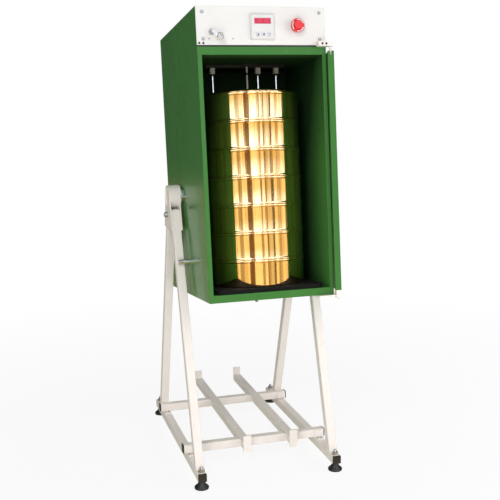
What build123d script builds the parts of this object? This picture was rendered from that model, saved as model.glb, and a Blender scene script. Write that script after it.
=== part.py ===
from build123d import *
import os
from math import atan, cos, degrees, radians, sin, tan

# A floor-standing sieve shaker: a closed cabinet hangs between two A-frames on trunnions and
# leans back on its stop pins. Millimetres, +X to the right, +Y to the back, +Z up. It is drawn
# with X and Y from the middle of the trunnion axis and moved at the end, so that its origin is
# on the floor at the middle of its outline, with the door folded back.

# Stand of square tube
tube = 27.0
tube_wall = 2.0
tube_corner = 2.5
rail_offset = 27.5
rail_front = 324.0
rail_rear = 394.0
rail_underside = 26.0
hub_height = 870.0
leg_foot_front = 280.0
leg_foot_rear = 304.0
leg_top_offset = 10.0
leg_top_gap = 4.0
cross_front_y = -140.0
cross_overhang = 6.5
plug_thickness = 3.0
plug_corner = 3.0

# Corner clips and the two carrier bars on the cross tubes
clip_leg = 25.0
clip_width = 24.0
clip_thickness = 3.0
clip_screw_pitch = 12.0
clip_screw_radius = 4.0
clip_screw_height = 2.5
bar_centres = (-39.0, 119.0)
bar_width = 27.0
bar_depth = 24.0
bar_wall = 3.0
bar_front = 192.0
bar_rear = 508.0
front_stop_rise = 22.0
front_stop_drop = 12.0
rear_stop_rise = 30.0
bar_hole_radius = 5.0
bar_hole_ys = (-60.0, 362.0)

# Levelling feet
foot_inset = 16.0
pad_radius = 22.5
pad_rim_height = 7.0
pad_height = 18.0
neck_radius = 9.0
pad_shoulder = 3.0
stud_radius = 5.0
stud_point = 1.5
stud_above_rail = 17.0
lock_nut_across = 17.0
lock_nut_height = 8.0

# Trunnions
barrel_radius = 36.0
barrel_gap = 6.5
barrel_length = 39.0
barrel_bore = 25.0
barrel_recess_radius = 30.0
barrel_recess_depth = 3.0
barrel_end_wall = 4.0
plate_thickness = 4.0
plate_drop = 102.0
plate_top_half = 33.0
plate_edge_margin = 3.0
pin_radius = 17.5
pin_flange_radius = 27.0
pin_flange_thickness = 5.0
clamp_drop = 58.0
clamp_radius = 5.0
clamp_head_radius = 9.0
clamp_head_height = 5.0
dome_length = 14.0
side_bolt_offset = 55.0
side_bolt_across = 10.0
side_bolt_height = 4.5

# Stop pins on the cabinet's sides, which rest on the front legs
stop_radius = 8.5
stop_length = 36.0
stop_along_leg = 216.0
locking_pin_radius = 4.0
locking_pin_length = 14.5
locking_pin_place = (-65.0, -3.0)
rest_gap = 0.3

# Cabinet of panels, measured from the trunnion axis before it leans back
lean = 5.8
cabinet_width = 385.0
cabinet_front = -332.0
cabinet_rear = 213.5
cabinet_bottom = -313.0
cabinet_top = 527.0
side_thickness = 12.5
floor_thickness = 22.0
ceiling_bottom = 392.0
ceiling_thickness = 22.0
top_thickness = 12.5
bulkhead_y = 14.0
bulkhead_thickness = 12.5
edge_round = 1.2

# Control panel and what is on it
panel_thickness = 3.0
panel_shadow_gap = 5.0
panel_screw_inset = 18.5
panel_screw_margin = 17.0
panel_screw_radius = 5.0
panel_screw_height = 2.4
small_screw_radius = 3.0
small_screw_height = 1.8
dot_screw_radius = 2.0
edge_screw_inset = 6.5
dark_screw_above = 5.0
dot_screw_xs = (-157.0, -87.0)
dot_screw_above = 17.0
timer_size = 72.0
timer_above = 50.0
timer_proud = 8.0
timer_body = 67.0
timer_depth = 75.0
timer_corner = 4.0
bezel_edge = 1.5
window_size = (48.0, 15.0)
window_above = 15.7
window_recess = 1.5
window_sunk = 0.4
key_radius = 6.5
key_pitch = 17.0
key_offset = 2.0
key_below = 21.8
key_proud = 2.5
key_length = 6.5
key_edge = 0.8
key_travel = 1.2
running_gap = 0.05
estop_x = 101.0
estop_above = 52.0
collar_radius = 15.0
collar_height = 6.0
collar_edge = 1.0
stem_radius = 8.0
stem_back = 14.0
stem_front = 16.0
spigot_radius = 5.0
spigot_length = 6.0
cap_radius = 20.0
cap_core_radius = 14.0
cap_ring_height = 7.0
cap_height = 14.0
cap_edge = 3.0
cap_core_edge = 1.5
selector_x = -149.0
selector_above = 36.0
selector_nut_across = 16.0
selector_nut_height = 4.0
selector_stem_radius = 4.0
selector_reach = 24.0
selector_arm_width = 8.0
selector_arm_thickness = 5.0
selector_arm_y = -345.0
selector_knob_radius = 10.0
selector_knob_length = 18.0
selector_stem_back = 8.0
knob_edge = 1.5
knob_rim = 4.0
knob_dish = 1.5
selector_angle = -45.0

# Door, its hinges and its handle
door_gap = 3.0
door_thickness = 18.0
liner_thickness = 3.0
door_skin = 1.5
door_side_inset = 2.5
hinge_offset = 9.0
door_floor_gap = 14.0
door_ceiling_lap = 8.0
door_open = 254.0
seal_width = 9.0
seal_inset = 5.0
hinge_pin_radius = 4.0
hinge_pin_depth = 12.0
hinge_block_height = 20.0
hinge_notch = 5.0
hinge_bar_reach = 30.5
hinge_bar_gap = 13.5
hinge_bar_height = 14.0
hinge_bar_side = 7.0
hinge_edge = 1.5
bracket_reach = 54.5
bracket_thickness = 4.0
bracket_depth = 50.0
bracket_block_height = 22.0
bracket_bolt_drop = 5.0
bracket_bolt_across = 8.0
handle_inset = 25.0
handle_length = 120.0
handle_reach = 34.0
handle_bar_radius = 5.0
handle_bend = 12.0
handle_z = 40.0

# Stack of sieves
stack_y = -157.0
platen_thickness = 12.0
platen_half = 165.0
platen_corner = 20.0
element_count = 7
element_pitch = 81.8
wall_radius = 152.5
wall = 1.2
bead_step = 3.1
bead_height = 8.0
shoulder_step = 2.3
shoulder_height = 3.0
skirt_clearance = 1.0
skirt_depth = 10.0
ledge_height = 1.5
cloth_thickness = 0.6
lid_rim = 1.5
lid_raised_radius = 124.0
lid_slope = 6.0
lid_rise = 8.0
buffer_radius = 8.0
buffer_height = 30.0
buffer_angle = 40.0

# Hold-down rods
rod_y = -129.0
rod_xs = (-102.0, 43.0, 102.0)
rod_radius = 4.0
rod_edge = 1.0
rod_above_ceiling = 10.0
rod_rail_half = 125.0
rod_rail_width = 24.0
rod_rail_height = 8.0
rod_block = 14.0
rod_block_height = 18.0
collet_radius = 6.0
collet_height = 6.0
ceiling_hole_gap = 1.0
centre_rod_radius = 2.5
centre_plate = (42.0, 10.0, 5.0)
centre_plate_x = 8.0

# Rear compartment
motor_y = 115.0
motor_z = -40.0
motor_radius = 56.0
motor_length = 150.0
motor_rib_height = 5.0
motor_rib_width = 4.0
motor_rib_count = 5
motor_base_half = 60.0
shaft_radius = 9.0
shaft_overhang = 34.0
weight_radius = 44.0
weight_thickness = 18.0
weight_gap = 8.0
weight_web = 4.0
cover_thickness = 1.5
louvre_size = (110.0, 5.0)
louvre_pitch = 16.0
louvre_rows = 6
louvre_x = 70.0
louvre_base_z = 60.0
cover_screw_radius = 4.0
cover_screw_height = 2.0
cover_screw_inset = 11.0
inlet_x = 110.0
inlet_z = -230.0
inlet_size = (48.0, 28.0)
inlet_flange = 5.0
inlet_flange_thickness = 3.0
inlet_depth = 24.0
inlet_socket_depth = 20.0
inlet_socket = (30.0, 16.0)

# Sizes that follow from the ones above
half_width = cabinet_width / 2
chamber_half = half_width - side_thickness
rail_x = half_width + rail_offset
barrel_inner_x = half_width + barrel_gap
barrel_outer_x = barrel_inner_x + barrel_length
rail_top = rail_underside + tube
cross_top = rail_top + tube
front_slope = atan((leg_foot_front - leg_top_offset) / (hub_height - rail_top))
rear_slope = atan((leg_foot_rear - leg_top_offset) / (hub_height - rail_top))
leg_half_rear = tube / 2 / cos(rear_slope)
leg_half_front = tube / 2 / cos(front_slope)
cross_rear_y = leg_foot_rear - tube * tan(rear_slope) - leg_half_rear - tube / 2 - rest_gap
cross_half = rail_x + tube / 2 + cross_overhang
chamber_floor = cabinet_bottom + floor_thickness
panel_bottom = ceiling_bottom + ceiling_thickness + panel_shadow_gap
panel_screw_x = half_width - panel_screw_inset
panel_screw_zs = (panel_bottom + panel_screw_margin, cabinet_top - panel_screw_margin)
hinge_screw_xs = (panel_screw_x, half_width - edge_screw_inset)
dark_screw_xs = (edge_screw_inset - half_width, -panel_screw_x)
dark_screw_z = panel_bottom + dark_screw_above
dot_screw_z = panel_bottom + dot_screw_above
timer_z = panel_bottom + timer_above
estop_z = panel_bottom + estop_above
selector_z = panel_bottom + selector_above
hinge_x = half_width + hinge_offset
door_left = door_side_inset - half_width
door_bottom = cabinet_bottom + door_floor_gap
door_height = ceiling_bottom + door_ceiling_lap - door_bottom
hinge_bar_left = half_width - hinge_bar_reach
hinge_bar_bottom = door_bottom + door_height + hinge_bar_gap
bracket_left = half_width - bracket_reach
pivot_y = cabinet_front - door_gap - door_thickness / 2
door_back = cabinet_front - door_gap
door_front = door_back - door_thickness
door_right = hinge_x + door_thickness / 2
stack_bottom = chamber_floor + platen_thickness
stack_rim = stack_bottom + element_count * element_pitch
lid_top = stack_rim + lid_rim + lid_rise
bead_radius = wall_radius + bead_step
shoulder_radius = wall_radius + shoulder_step
skirt_radius = wall_radius - wall - skirt_clearance
bore_end = barrel_outer_x - barrel_recess_depth - barrel_end_wall

# Every piece by its name, in the drawing's place
pieces = {}

# The cabinet's own frame: origin on the trunnion axis, leaned back by the rest angle
cabinet_place = Location((0, 0, hub_height), (-lean, 0, 0))


def block(x0, x1, y0, y1, z0, z1):
    middle = ((x0 + x1) / 2, (y0 + y1) / 2, (z0 + z1) / 2)
    return Pos(*middle) * Box(x1 - x0, y1 - y0, z1 - z0)


def rod_along_x(radius, x0, x1, y, z):
    return Pos((x0 + x1) / 2, y, z) * Rot(0, 90, 0) * Cylinder(radius, x1 - x0)


def rod_along_y(radius, x, y0, y1, z):
    return Pos(x, (y0 + y1) / 2, z) * Rot(90, 0, 0) * Cylinder(radius, y1 - y0)


def rod_along_z(radius, x, y, z0, z1):
    return Pos(x, y, (z0 + z1) / 2) * Cylinder(radius, z1 - z0)


def hexagon(across, height):
    return extrude(RegularPolygon(across / 2, 6, major_radius=False), height)


def save(shape, name):
    pieces[name] = shape


def in_cabinet(shape):
    return cabinet_place * shape


def revolved(points):
    face = make_face(Plane.XZ * Polyline(*points, close=True))
    return revolve(face, Axis.Z)


# Stand
def square_tube(length):
    outer = Box(tube, tube, length)
    outer = fillet(outer.edges().filter_by(Axis.Z), tube_corner)
    return outer - Box(tube - 2 * tube_wall, tube - 2 * tube_wall, length + 1)


def foot_ys():
    return (-rail_front + foot_inset, rail_rear - foot_inset)


def rail(side):
    x = side * rail_x
    middle_y = (rail_rear - rail_front) / 2
    middle_z = rail_underside + tube / 2
    length = rail_front + rail_rear - 2 * plug_thickness
    shape = Pos(x, middle_y, middle_z) * Rot(90, 0, 0) * square_tube(length)
    for y in foot_ys():
        shape -= rod_along_z(stud_radius + running_gap, x, y, rail_underside - 1, rail_top + 1)
    return shape


def leg(side, foot_y, slope, direction):
    length = (hub_height - rail_top) / cos(slope) + 2 * tube
    middle_y = (direction * leg_top_offset + foot_y) / 2
    middle_z = (hub_height + rail_top) / 2
    turn = direction * degrees(slope)
    shape = Pos(side * rail_x, middle_y, middle_z) * Rot(turn, 0, 0) * square_tube(length)
    leg_top = hub_height - barrel_radius - leg_top_gap
    half = tube
    keep = block(side * rail_x - half, side * rail_x + half, -rail_front, rail_rear, rail_top, leg_top)
    return shape & keep


def legs(side):
    front = leg(side, -leg_foot_front, front_slope, -1)
    rear = leg(side, leg_foot_rear, rear_slope, 1)
    return Compound([front, rear])


def cross_tube(y):
    shape = Pos(0, y, rail_top + tube / 2) * Rot(0, 90, 0) * square_tube(2 * cross_half)
    return shape


def tube_plugs():
    plugs = []
    for y in (cross_front_y, cross_rear_y):
        for side in (-1, 1):
            x = side * (cross_half + plug_thickness / 2)
            cap = Pos(x, y, rail_top + tube / 2) * Box(plug_thickness, tube, tube)
            plugs.append(fillet(cap.edges().filter_by(Axis.X), plug_corner))
    for y in (-rail_front + plug_thickness / 2, rail_rear - plug_thickness / 2):
        for side in (-1, 1):
            cap = Pos(side * rail_x, y, rail_underside + tube / 2) * Box(tube, plug_thickness, tube)
            plugs.append(fillet(cap.edges().filter_by(Axis.Y), plug_corner))
    return Compound(plugs)


def angle_clip(x, y):
    half = clip_width / 2
    foot = block(x - half, x + half, y - clip_leg, y, rail_top, rail_top + clip_thickness)
    wall_part = block(x - half, x + half, y - clip_thickness, y, rail_top, rail_top + clip_leg)
    return foot + wall_part


def angle_clips():
    clips = []
    for y in (cross_front_y, cross_rear_y):
        for side in (-1, 1):
            clips.append(angle_clip(side * rail_x, y - tube / 2))
    return Compound(clips)


def clip_screws():
    screws = []
    z = rail_top + clip_thickness
    for y in (cross_front_y, cross_rear_y):
        for side in (-1, 1):
            for shift in (-clip_screw_pitch / 2, clip_screw_pitch / 2):
                at_y = y - tube / 2 - clip_leg / 2 - clip_thickness / 2
                x = side * rail_x + shift
                screws.append(rod_along_z(clip_screw_radius, x, at_y, z, z + clip_screw_height))
    return screws


def carrier_bar(x):
    half = bar_width / 2
    inner = half - bar_wall
    top = cross_top + bar_wall
    low = top - bar_depth
    bar = block(x - half, x + half, -bar_front, bar_rear, low, top)
    bar -= block(x - inner, x + inner, -bar_front - 1, bar_rear + 1, low - 1, cross_top)
    for y in (cross_front_y, cross_rear_y):
        reach = tube / 2 + rest_gap
        bar -= block(x - half - 1, x + half + 1, y - reach, y + reach, low - 1, cross_top)
    front = -bar_front - bar_wall
    high = top + front_stop_rise
    bar += block(x - half, x + half, front, -bar_front, low - front_stop_drop, high)
    bar += block(x - half, x + half, bar_rear, bar_rear + bar_wall, low, top + rear_stop_rise)
    for y in bar_hole_ys:
        bar -= rod_along_z(bar_hole_radius, x, y, cross_top - 1, top + 1)
    return bar


def lock_nuts():
    nuts = []
    for side in (-1, 1):
        for y in foot_ys():
            nut = Pos(side * rail_x, y, rail_top) * hexagon(lock_nut_across, lock_nut_height)
            bore = stud_radius + running_gap
            x = side * rail_x
            nuts.append(nut - rod_along_z(bore, x, y, rail_top - 1, rail_top + lock_nut_height + 1))
    return nuts


def foot(side, y):
    top = rail_underside - rest_gap
    stud_top = rail_top + stud_above_rail
    points = (
        (0, 0),
        (pad_radius, 0),
        (pad_radius, pad_rim_height),
        (neck_radius + pad_shoulder, pad_height),
        (neck_radius, top),
        (stud_radius, top),
        (stud_radius, stud_top - stud_point),
        (stud_radius - stud_point, stud_top),
        (0, stud_top),
    )
    return Pos(side * rail_x, y, 0) * revolved(points)


# Trunnions
def bracket_plate(x0, side):
    low = hub_height - plate_drop
    front = leg_top_offset + plate_drop * tan(front_slope) + leg_half_front + plate_edge_margin
    rear = leg_top_offset + plate_drop * tan(rear_slope) + leg_half_rear + plate_edge_margin
    top = hub_height - barrel_radius / 3
    outline = Polyline(
        (-plate_top_half, top), (plate_top_half, top), (rear, low), (-front, low), close=True
    )
    face = make_face(Plane.YZ * outline)
    low_x = min(side * x0, side * (x0 + plate_thickness))
    return Pos(low_x, 0, 0) * extrude(face, plate_thickness, dir=(1, 0, 0))


def trunnion_bracket(side):
    ends = sorted((side * barrel_inner_x, side * barrel_outer_x))
    shape = rod_along_x(barrel_radius, ends[0], ends[1], 0, hub_height)
    for x0 in (rail_x - tube / 2 - plate_thickness, rail_x + tube / 2):
        shape += bracket_plate(x0, side)
    bore = sorted((side * (barrel_inner_x - 1), side * bore_end))
    shape -= rod_along_x(barrel_bore, bore[0], bore[1], 0, hub_height)
    deep = sorted((side * (barrel_outer_x - barrel_recess_depth), side * (barrel_outer_x + 1)))
    shape -= rod_along_x(barrel_recess_radius, deep[0], deep[1], 0, hub_height)
    clamp = sorted((side * barrel_inner_x, side * barrel_outer_x))
    shape -= rod_along_x(clamp_radius, clamp[0], clamp[1], 0, hub_height - clamp_drop)
    return shape


def bush(side):
    ends = sorted((side * barrel_inner_x, side * bore_end))
    sleeve = rod_along_x(barrel_bore, ends[0], ends[1], 0, hub_height)
    return sleeve - rod_along_x(pin_radius + running_gap, ends[0] - 1, ends[1] + 1, 0, hub_height)


def clamp_bolt(side):
    inner = rail_x - tube / 2 - plate_thickness
    outer = rail_x + tube / 2 + plate_thickness
    z = hub_height - clamp_drop
    profile = Polyline(
        (0, inner - clamp_head_height),
        (clamp_head_radius, inner - clamp_head_height),
        (clamp_head_radius, inner),
        (clamp_radius, inner),
        (clamp_radius, outer),
        (clamp_head_radius, outer),
        (clamp_head_radius, outer + dome_length / 2),
        (clamp_head_radius * 0.7, outer + dome_length * 0.85),
        (0, outer + dome_length),
        close=True,
    )
    bolt = revolve(make_face(Plane.XZ * profile), Axis.Z)
    return Pos(0, 0, z) * Rot(0, side * 90, 0) * bolt


def trunnion_pin(side):
    flange = sorted((side * half_width, side * (half_width + pin_flange_thickness)))
    shaft = sorted((side * half_width, side * (bore_end - rest_gap)))
    shape = rod_along_x(pin_flange_radius, flange[0], flange[1], 0, 0)
    return shape + rod_along_x(pin_radius, shaft[0], shaft[1], 0, 0)


def stop_pin(side):
    reach = tube / 2 + stop_radius + rest_gap
    y = -leg_top_offset - stop_along_leg * sin(front_slope) - reach * cos(front_slope)
    z = hub_height - stop_along_leg * cos(front_slope) + reach * sin(front_slope)
    ends = sorted((side * half_width, side * (half_width + stop_length)))
    return rod_along_x(stop_radius, ends[0], ends[1], y, z)


def locking_pin(side):
    y, z = locking_pin_place
    ends = sorted((side * half_width, side * (half_width + locking_pin_length)))
    return rod_along_x(locking_pin_radius, ends[0], ends[1], y, z)


def side_bolt(side):
    head = Rot(0, side * 90, 0) * hexagon(side_bolt_across, side_bolt_height)
    return Pos(side * half_width, side_bolt_offset, 0) * head


# Cabinet
def side_panel(side):
    x = sorted((side * chamber_half, side * half_width))
    shape = block(x[0], x[1], cabinet_front, cabinet_rear, cabinet_bottom, cabinet_top)
    outside = shape.faces().sort_by(Axis.X)[0 if side < 0 else -1]
    shape = fillet(outside.edges(), edge_round)
    back = cabinet_front + panel_thickness
    rebate = block(x[0] - 1, x[1] + 1, cabinet_front - 1, back, panel_bottom, cabinet_top + 1)
    return shape - rebate


def floor_panel():
    rear = cabinet_rear - cover_thickness
    return block(-chamber_half, chamber_half, cabinet_front, rear, cabinet_bottom, chamber_floor)


def ceiling_panel():
    rear = cabinet_rear - cover_thickness
    top = ceiling_bottom + ceiling_thickness
    shape = block(-chamber_half, chamber_half, cabinet_front, rear, ceiling_bottom, top)
    for x in rod_xs:
        hole = rod_radius + ceiling_hole_gap
        shape -= rod_along_z(hole, x, rod_y, ceiling_bottom - 1, top + 1)
    return shape


def top_panel():
    front = cabinet_front + panel_thickness
    low = cabinet_top - top_thickness
    return block(-chamber_half, chamber_half, front, cabinet_rear, low, cabinet_top)


def bulkhead():
    rear = bulkhead_y + bulkhead_thickness
    return block(-chamber_half, chamber_half, bulkhead_y, rear, chamber_floor, ceiling_bottom)


def rear_cover():
    front = cabinet_rear - cover_thickness
    top = cabinet_top - top_thickness
    shape = block(-chamber_half, chamber_half, front, cabinet_rear, cabinet_bottom, top)
    for row in range(louvre_rows):
        z = louvre_base_z + row * louvre_pitch
        for x in (-louvre_x, louvre_x):
            half_x = louvre_size[0] / 2
            half_z = louvre_size[1] / 2
            slot = block(x - half_x, x + half_x, front - 1, cabinet_rear + 1, z - half_z, z + half_z)
            shape -= slot
    half_x = inlet_size[0] / 2
    half_z = inlet_size[1] / 2
    shape -= block(
        inlet_x - half_x,
        inlet_x + half_x,
        front - 1,
        cabinet_rear + 1,
        inlet_z - half_z,
        inlet_z + half_z,
    )
    return shape


def power_inlet():
    half_x = inlet_size[0] / 2
    half_z = inlet_size[1] / 2
    flange_rear = cabinet_rear + inlet_flange_thickness
    body = block(
        inlet_x - half_x,
        inlet_x + half_x,
        cabinet_rear - inlet_depth,
        cabinet_rear,
        inlet_z - half_z,
        inlet_z + half_z,
    )
    flange = block(
        inlet_x - half_x - inlet_flange,
        inlet_x + half_x + inlet_flange,
        cabinet_rear,
        flange_rear,
        inlet_z - half_z - inlet_flange,
        inlet_z + half_z + inlet_flange,
    )
    socket = block(
        inlet_x - inlet_socket[0] / 2,
        inlet_x + inlet_socket[0] / 2,
        flange_rear - inlet_socket_depth,
        flange_rear + 1,
        inlet_z - inlet_socket[1] / 2,
        inlet_z + inlet_socket[1] / 2,
    )
    return body + flange - socket


def control_panel():
    back = cabinet_front + panel_thickness
    plate = block(-half_width, half_width, cabinet_front, back, panel_bottom, cabinet_top)
    plate = fillet(plate.edges().filter_by(Axis.Y), edge_round)
    half = timer_body / 2
    plate -= block(-half, half, cabinet_front - 1, back + 1, timer_z - half, timer_z + half)
    for x, z, radius in (
        (estop_x, estop_z, stem_radius + ceiling_hole_gap),
        (selector_x, selector_z, selector_stem_radius + ceiling_hole_gap),
    ):
        plate -= rod_along_y(radius, x, cabinet_front - 1, back + 1, z)
    return plate


def panel_head(x, z, radius, height):
    head = rod_along_y(radius, x, cabinet_front - height, cabinet_front, z)
    front = head.edges().sort_by(Axis.Y)[0]
    return chamfer(front, height / 3)


def cabinet_screws():
    screws = []
    for x in (-panel_screw_x, panel_screw_x):
        for z in panel_screw_zs:
            screws.append(panel_head(x, z, panel_screw_radius, panel_screw_height))
    for x in dark_screw_xs:
        screws.append(panel_head(x, dark_screw_z, small_screw_radius, small_screw_height))
    for x in dot_screw_xs:
        screws.append(panel_head(x, dot_screw_z, dot_screw_radius, small_screw_height))
    bar_front = door_front
    for x in hinge_screw_xs:
        z = hinge_bar_bottom + hinge_bar_height / 2
        screws.append(rod_along_y(small_screw_radius, x, bar_front - small_screw_height, bar_front, z))
    for x in (-chamber_half + cover_screw_inset, 0, chamber_half - cover_screw_inset):
        for z in (cabinet_bottom + cover_screw_inset, ceiling_bottom + cover_screw_inset):
            rear = cabinet_rear + cover_screw_height
            screws.append(rod_along_y(cover_screw_radius, x, cabinet_rear, rear, z))
    for side in (-1, 1):
        screws.append(side_bolt(side))
    return Compound(screws)


# Controls
def timer_case():
    half = timer_size / 2
    face_y = cabinet_front - timer_proud
    bezel = block(-half, half, face_y, cabinet_front, timer_z - half, timer_z + half)
    bezel = fillet(bezel.edges().filter_by(Axis.Y), timer_corner)
    rim = bezel.faces().sort_by(Axis.Y)[0]
    bezel = chamfer(rim.edges(), bezel_edge)
    inner = timer_body / 2 - rest_gap
    rear = cabinet_front + timer_depth
    body = block(-inner, inner, cabinet_front, rear, timer_z - inner, timer_z + inner)
    z = timer_z + window_above
    cut = block(
        -window_size[0] / 2,
        window_size[0] / 2,
        face_y - 1,
        face_y + window_recess,
        z - window_size[1] / 2,
        z + window_size[1] / 2,
    )
    case = bezel + body - cut
    deep = face_y - key_proud + key_length + key_travel + rest_gap
    for x in key_xs():
        case -= rod_along_y(key_radius + running_gap, x, face_y - 1, deep, timer_z - key_below)
    return case


def timer_window():
    z = timer_z + window_above
    face_y = cabinet_front - timer_proud
    half_x = window_size[0] / 2
    half_z = window_size[1] / 2
    front = face_y + window_sunk
    return block(-half_x, half_x, front, face_y + window_recess, z - half_z, z + half_z)


def key_xs():
    return [key_offset + key_pitch * step for step in (-1, 0, 1)]


def timer_key(x):
    face_y = cabinet_front - timer_proud - key_proud
    key = rod_along_y(key_radius, x, face_y, face_y + key_length, timer_z - key_below)
    return chamfer(key.edges().sort_by(Axis.Y)[0], key_edge)


def estop_collar():
    low = cabinet_front - collar_height
    shape = rod_along_y(collar_radius, estop_x, low, cabinet_front, estop_z)
    bore = stem_radius + running_gap
    shape -= rod_along_y(bore, estop_x, low - 1, cabinet_front + 1, estop_z)
    return chamfer(shape.edges().sort_by(Axis.Y)[0], collar_edge)


def selector_nut():
    nut = Rot(90, 0, 0) * hexagon(selector_nut_across, selector_nut_height)
    nut = Pos(selector_x, cabinet_front, selector_z) * nut
    bore = selector_stem_radius + running_gap
    low = cabinet_front - selector_nut_height - 1
    return nut - rod_along_y(bore, selector_x, low, cabinet_front + 1, selector_z)


def estop_stem():
    neck = cabinet_front - stem_front
    shape = rod_along_y(stem_radius, estop_x, neck, cabinet_front + stem_back, estop_z)
    return shape + rod_along_y(spigot_radius, estop_x, neck - spigot_length, neck, estop_z)


def estop_cap():
    ring = cap_ring_height
    bore = spigot_radius + running_gap
    edge = cap_core_edge
    outline = (
        (bore, 0),
        (cap_radius - cap_edge, 0),
        (cap_radius, cap_edge),
        (cap_radius, ring - edge),
        (cap_radius - edge, ring),
        (cap_core_radius + edge, ring),
        (cap_core_radius, ring + edge),
        (cap_core_radius, cap_height - cap_edge),
        (cap_core_radius - edge, cap_height - edge / 2),
        (cap_core_radius - cap_edge, cap_height),
        (0, cap_height),
        (0, spigot_length + running_gap),
        (bore, spigot_length + running_gap),
    )
    cap = Rot(90, 0, 0) * revolved(outline)
    return Pos(estop_x, cabinet_front - stem_front, estop_z) * cap


def selector_handle():
    front = selector_arm_y - selector_arm_thickness
    rear = cabinet_front + selector_stem_back
    stem = rod_along_y(selector_stem_radius, selector_x, front, rear, selector_z)
    arm_y = selector_arm_y - selector_arm_thickness / 2
    arm = Box(selector_reach, selector_arm_thickness, selector_arm_width)
    arm = Pos(selector_reach / 2, arm_y, 0) * arm
    arm += rod_along_y(selector_arm_width / 2, 0, front, selector_arm_y, 0)
    low = front - selector_knob_length
    knob = rod_along_y(selector_knob_radius, selector_reach, low, selector_arm_y, 0)
    knob = chamfer(knob.edges().filter_by(GeomType.CIRCLE), knob_edge)
    dish_radius = selector_knob_radius - knob_rim
    knob -= rod_along_y(dish_radius, selector_reach, low - 1, low + knob_dish, 0)
    turned = Pos(selector_x, 0, selector_z) * Rot(0, -selector_angle, 0) * (arm + knob)
    return stem + turned


# Hinges and door
def top_hinge_bar():
    top = hinge_bar_bottom + hinge_bar_height
    right = hinge_x + hinge_bar_side
    bar = block(hinge_bar_left, right, door_front, cabinet_front, hinge_bar_bottom, top)
    bar = fillet(bar.edges().filter_by(Axis.Z), hinge_edge)
    low = door_bottom + door_height - hinge_pin_depth
    return bar + rod_along_z(hinge_pin_radius, hinge_x, pivot_y, low, top - 1)


def bottom_hinge_bracket():
    low = cabinet_bottom - bracket_thickness
    seat = door_bottom - rest_gap
    left = hinge_x - door_thickness / 2
    plate = block(bracket_left, left, door_front, door_front + bracket_depth, low, cabinet_bottom)
    body = block(left, door_right, door_front, door_back, seat - bracket_block_height, seat)
    body = fillet(body.edges().filter_by(Axis.Z), hinge_edge)
    shape = plate + body
    shape += rod_along_z(hinge_pin_radius, hinge_x, pivot_y, seat, door_bottom + hinge_pin_depth)
    bolt_low = seat - bracket_block_height - bracket_bolt_drop
    return shape + Pos(hinge_x, pivot_y, bolt_low) * hexagon(bracket_bolt_across, bracket_bolt_drop)


def opened(shape):
    return Pos(hinge_x, pivot_y, 0) * Rot(0, 0, door_open) * Pos(-hinge_x, -pivot_y, 0) * shape


def door_shell():
    top = door_bottom + door_height
    inner_face = door_back - liner_thickness
    shape = block(door_left, door_right, door_front, inner_face, door_bottom, top)
    shape = fillet(shape.faces().sort_by(Axis.Y)[0].edges(), edge_round)
    shape -= block(
        door_left + door_skin,
        door_right - door_skin,
        door_front + door_skin,
        inner_face + 1,
        door_bottom + door_skin,
        top - door_skin,
    )
    for z0 in (door_bottom + door_skin / 2, top - door_skin / 2 - hinge_block_height):
        shape += block(
            hinge_x - door_thickness / 2,
            door_right - door_skin / 2,
            door_front + door_skin / 2,
            inner_face,
            z0,
            z0 + hinge_block_height,
        )
    bore = hinge_pin_radius + running_gap
    for z0, z1 in (
        (door_bottom - 1, door_bottom + hinge_pin_depth + 1),
        (top - hinge_pin_depth - 1, top + 1),
    ):
        shape -= rod_along_z(bore, hinge_x, pivot_y, z0, z1)
    notch_low = top - hinge_pin_depth
    half = hinge_notch / 2
    shape -= block(hinge_x, door_right + 1, pivot_y - half, pivot_y + half, notch_low, top + 1)
    return shape


def door_liner():
    top = door_bottom + door_height
    inner_face = door_back - liner_thickness
    return block(door_left, door_right, inner_face, door_back, door_bottom, top)


def door_seal():
    outer_left = door_left + seal_inset
    outer_right = chamber_half + seal_inset
    low = chamber_floor - seal_inset - seal_width / 2
    high = ceiling_bottom + seal_inset
    front = door_back
    rear = cabinet_front - rest_gap
    ring = block(outer_left, outer_right, front, rear, low, high)
    w = seal_width
    return ring - block(outer_left + w, outer_right - w, front - 1, rear + 1, low + w, high - w)


def door_handle():
    x = door_left + handle_inset
    low = handle_z - handle_length / 2
    high = handle_z + handle_length / 2
    out = door_front - handle_reach
    path = FilletPolyline(
        (x, door_front, low),
        (x, out, low),
        (x, out, high),
        (x, door_front, high),
        radius=handle_bend,
    )
    profile = Plane(origin=(x, door_front, low), z_dir=(0, -1, 0)) * Circle(handle_bar_radius)
    return sweep(profile, path=path)


# Sieve stack
def stacked(shape):
    return Pos(0, stack_y, 0) * shape


def bead_points(rim):
    return (
        (wall_radius, rim - bead_height),
        (bead_radius - 1, rim - bead_height + 1.6),
        (bead_radius, rim - bead_height / 2),
        (bead_radius - 1, rim - 1.2),
        (bead_radius - 2.2, rim),
        (wall_radius - wall, rim),
    )


def pan():
    low = stack_bottom
    points = (
        (0, low),
        (wall_radius - 3, low),
        (wall_radius, low + 3),
        *bead_points(low + element_pitch),
        (wall_radius - wall, low + 4),
        (wall_radius - 4, low + wall),
        (0, low + wall),
    )
    return stacked(revolved(points))


def sieve(index):
    seat = stack_bottom + index * element_pitch
    ledge = seat + ledge_height
    points = (
        (skirt_radius - wall, seat - skirt_depth),
        (skirt_radius, seat - skirt_depth),
        (skirt_radius, seat),
        (shoulder_radius, seat),
        (shoulder_radius, seat + shoulder_height),
        (wall_radius, seat + 2 * shoulder_height),
        *bead_points(seat + element_pitch),
        (wall_radius - wall, ledge),
        (skirt_radius - wall, ledge),
    )
    return stacked(revolved(points))


def cloth(index):
    low = stack_bottom + index * element_pitch + ledge_height
    radius = wall_radius - wall - rest_gap
    return stacked(rod_along_z(radius, 0, 0, low, low + cloth_thickness))


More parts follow.
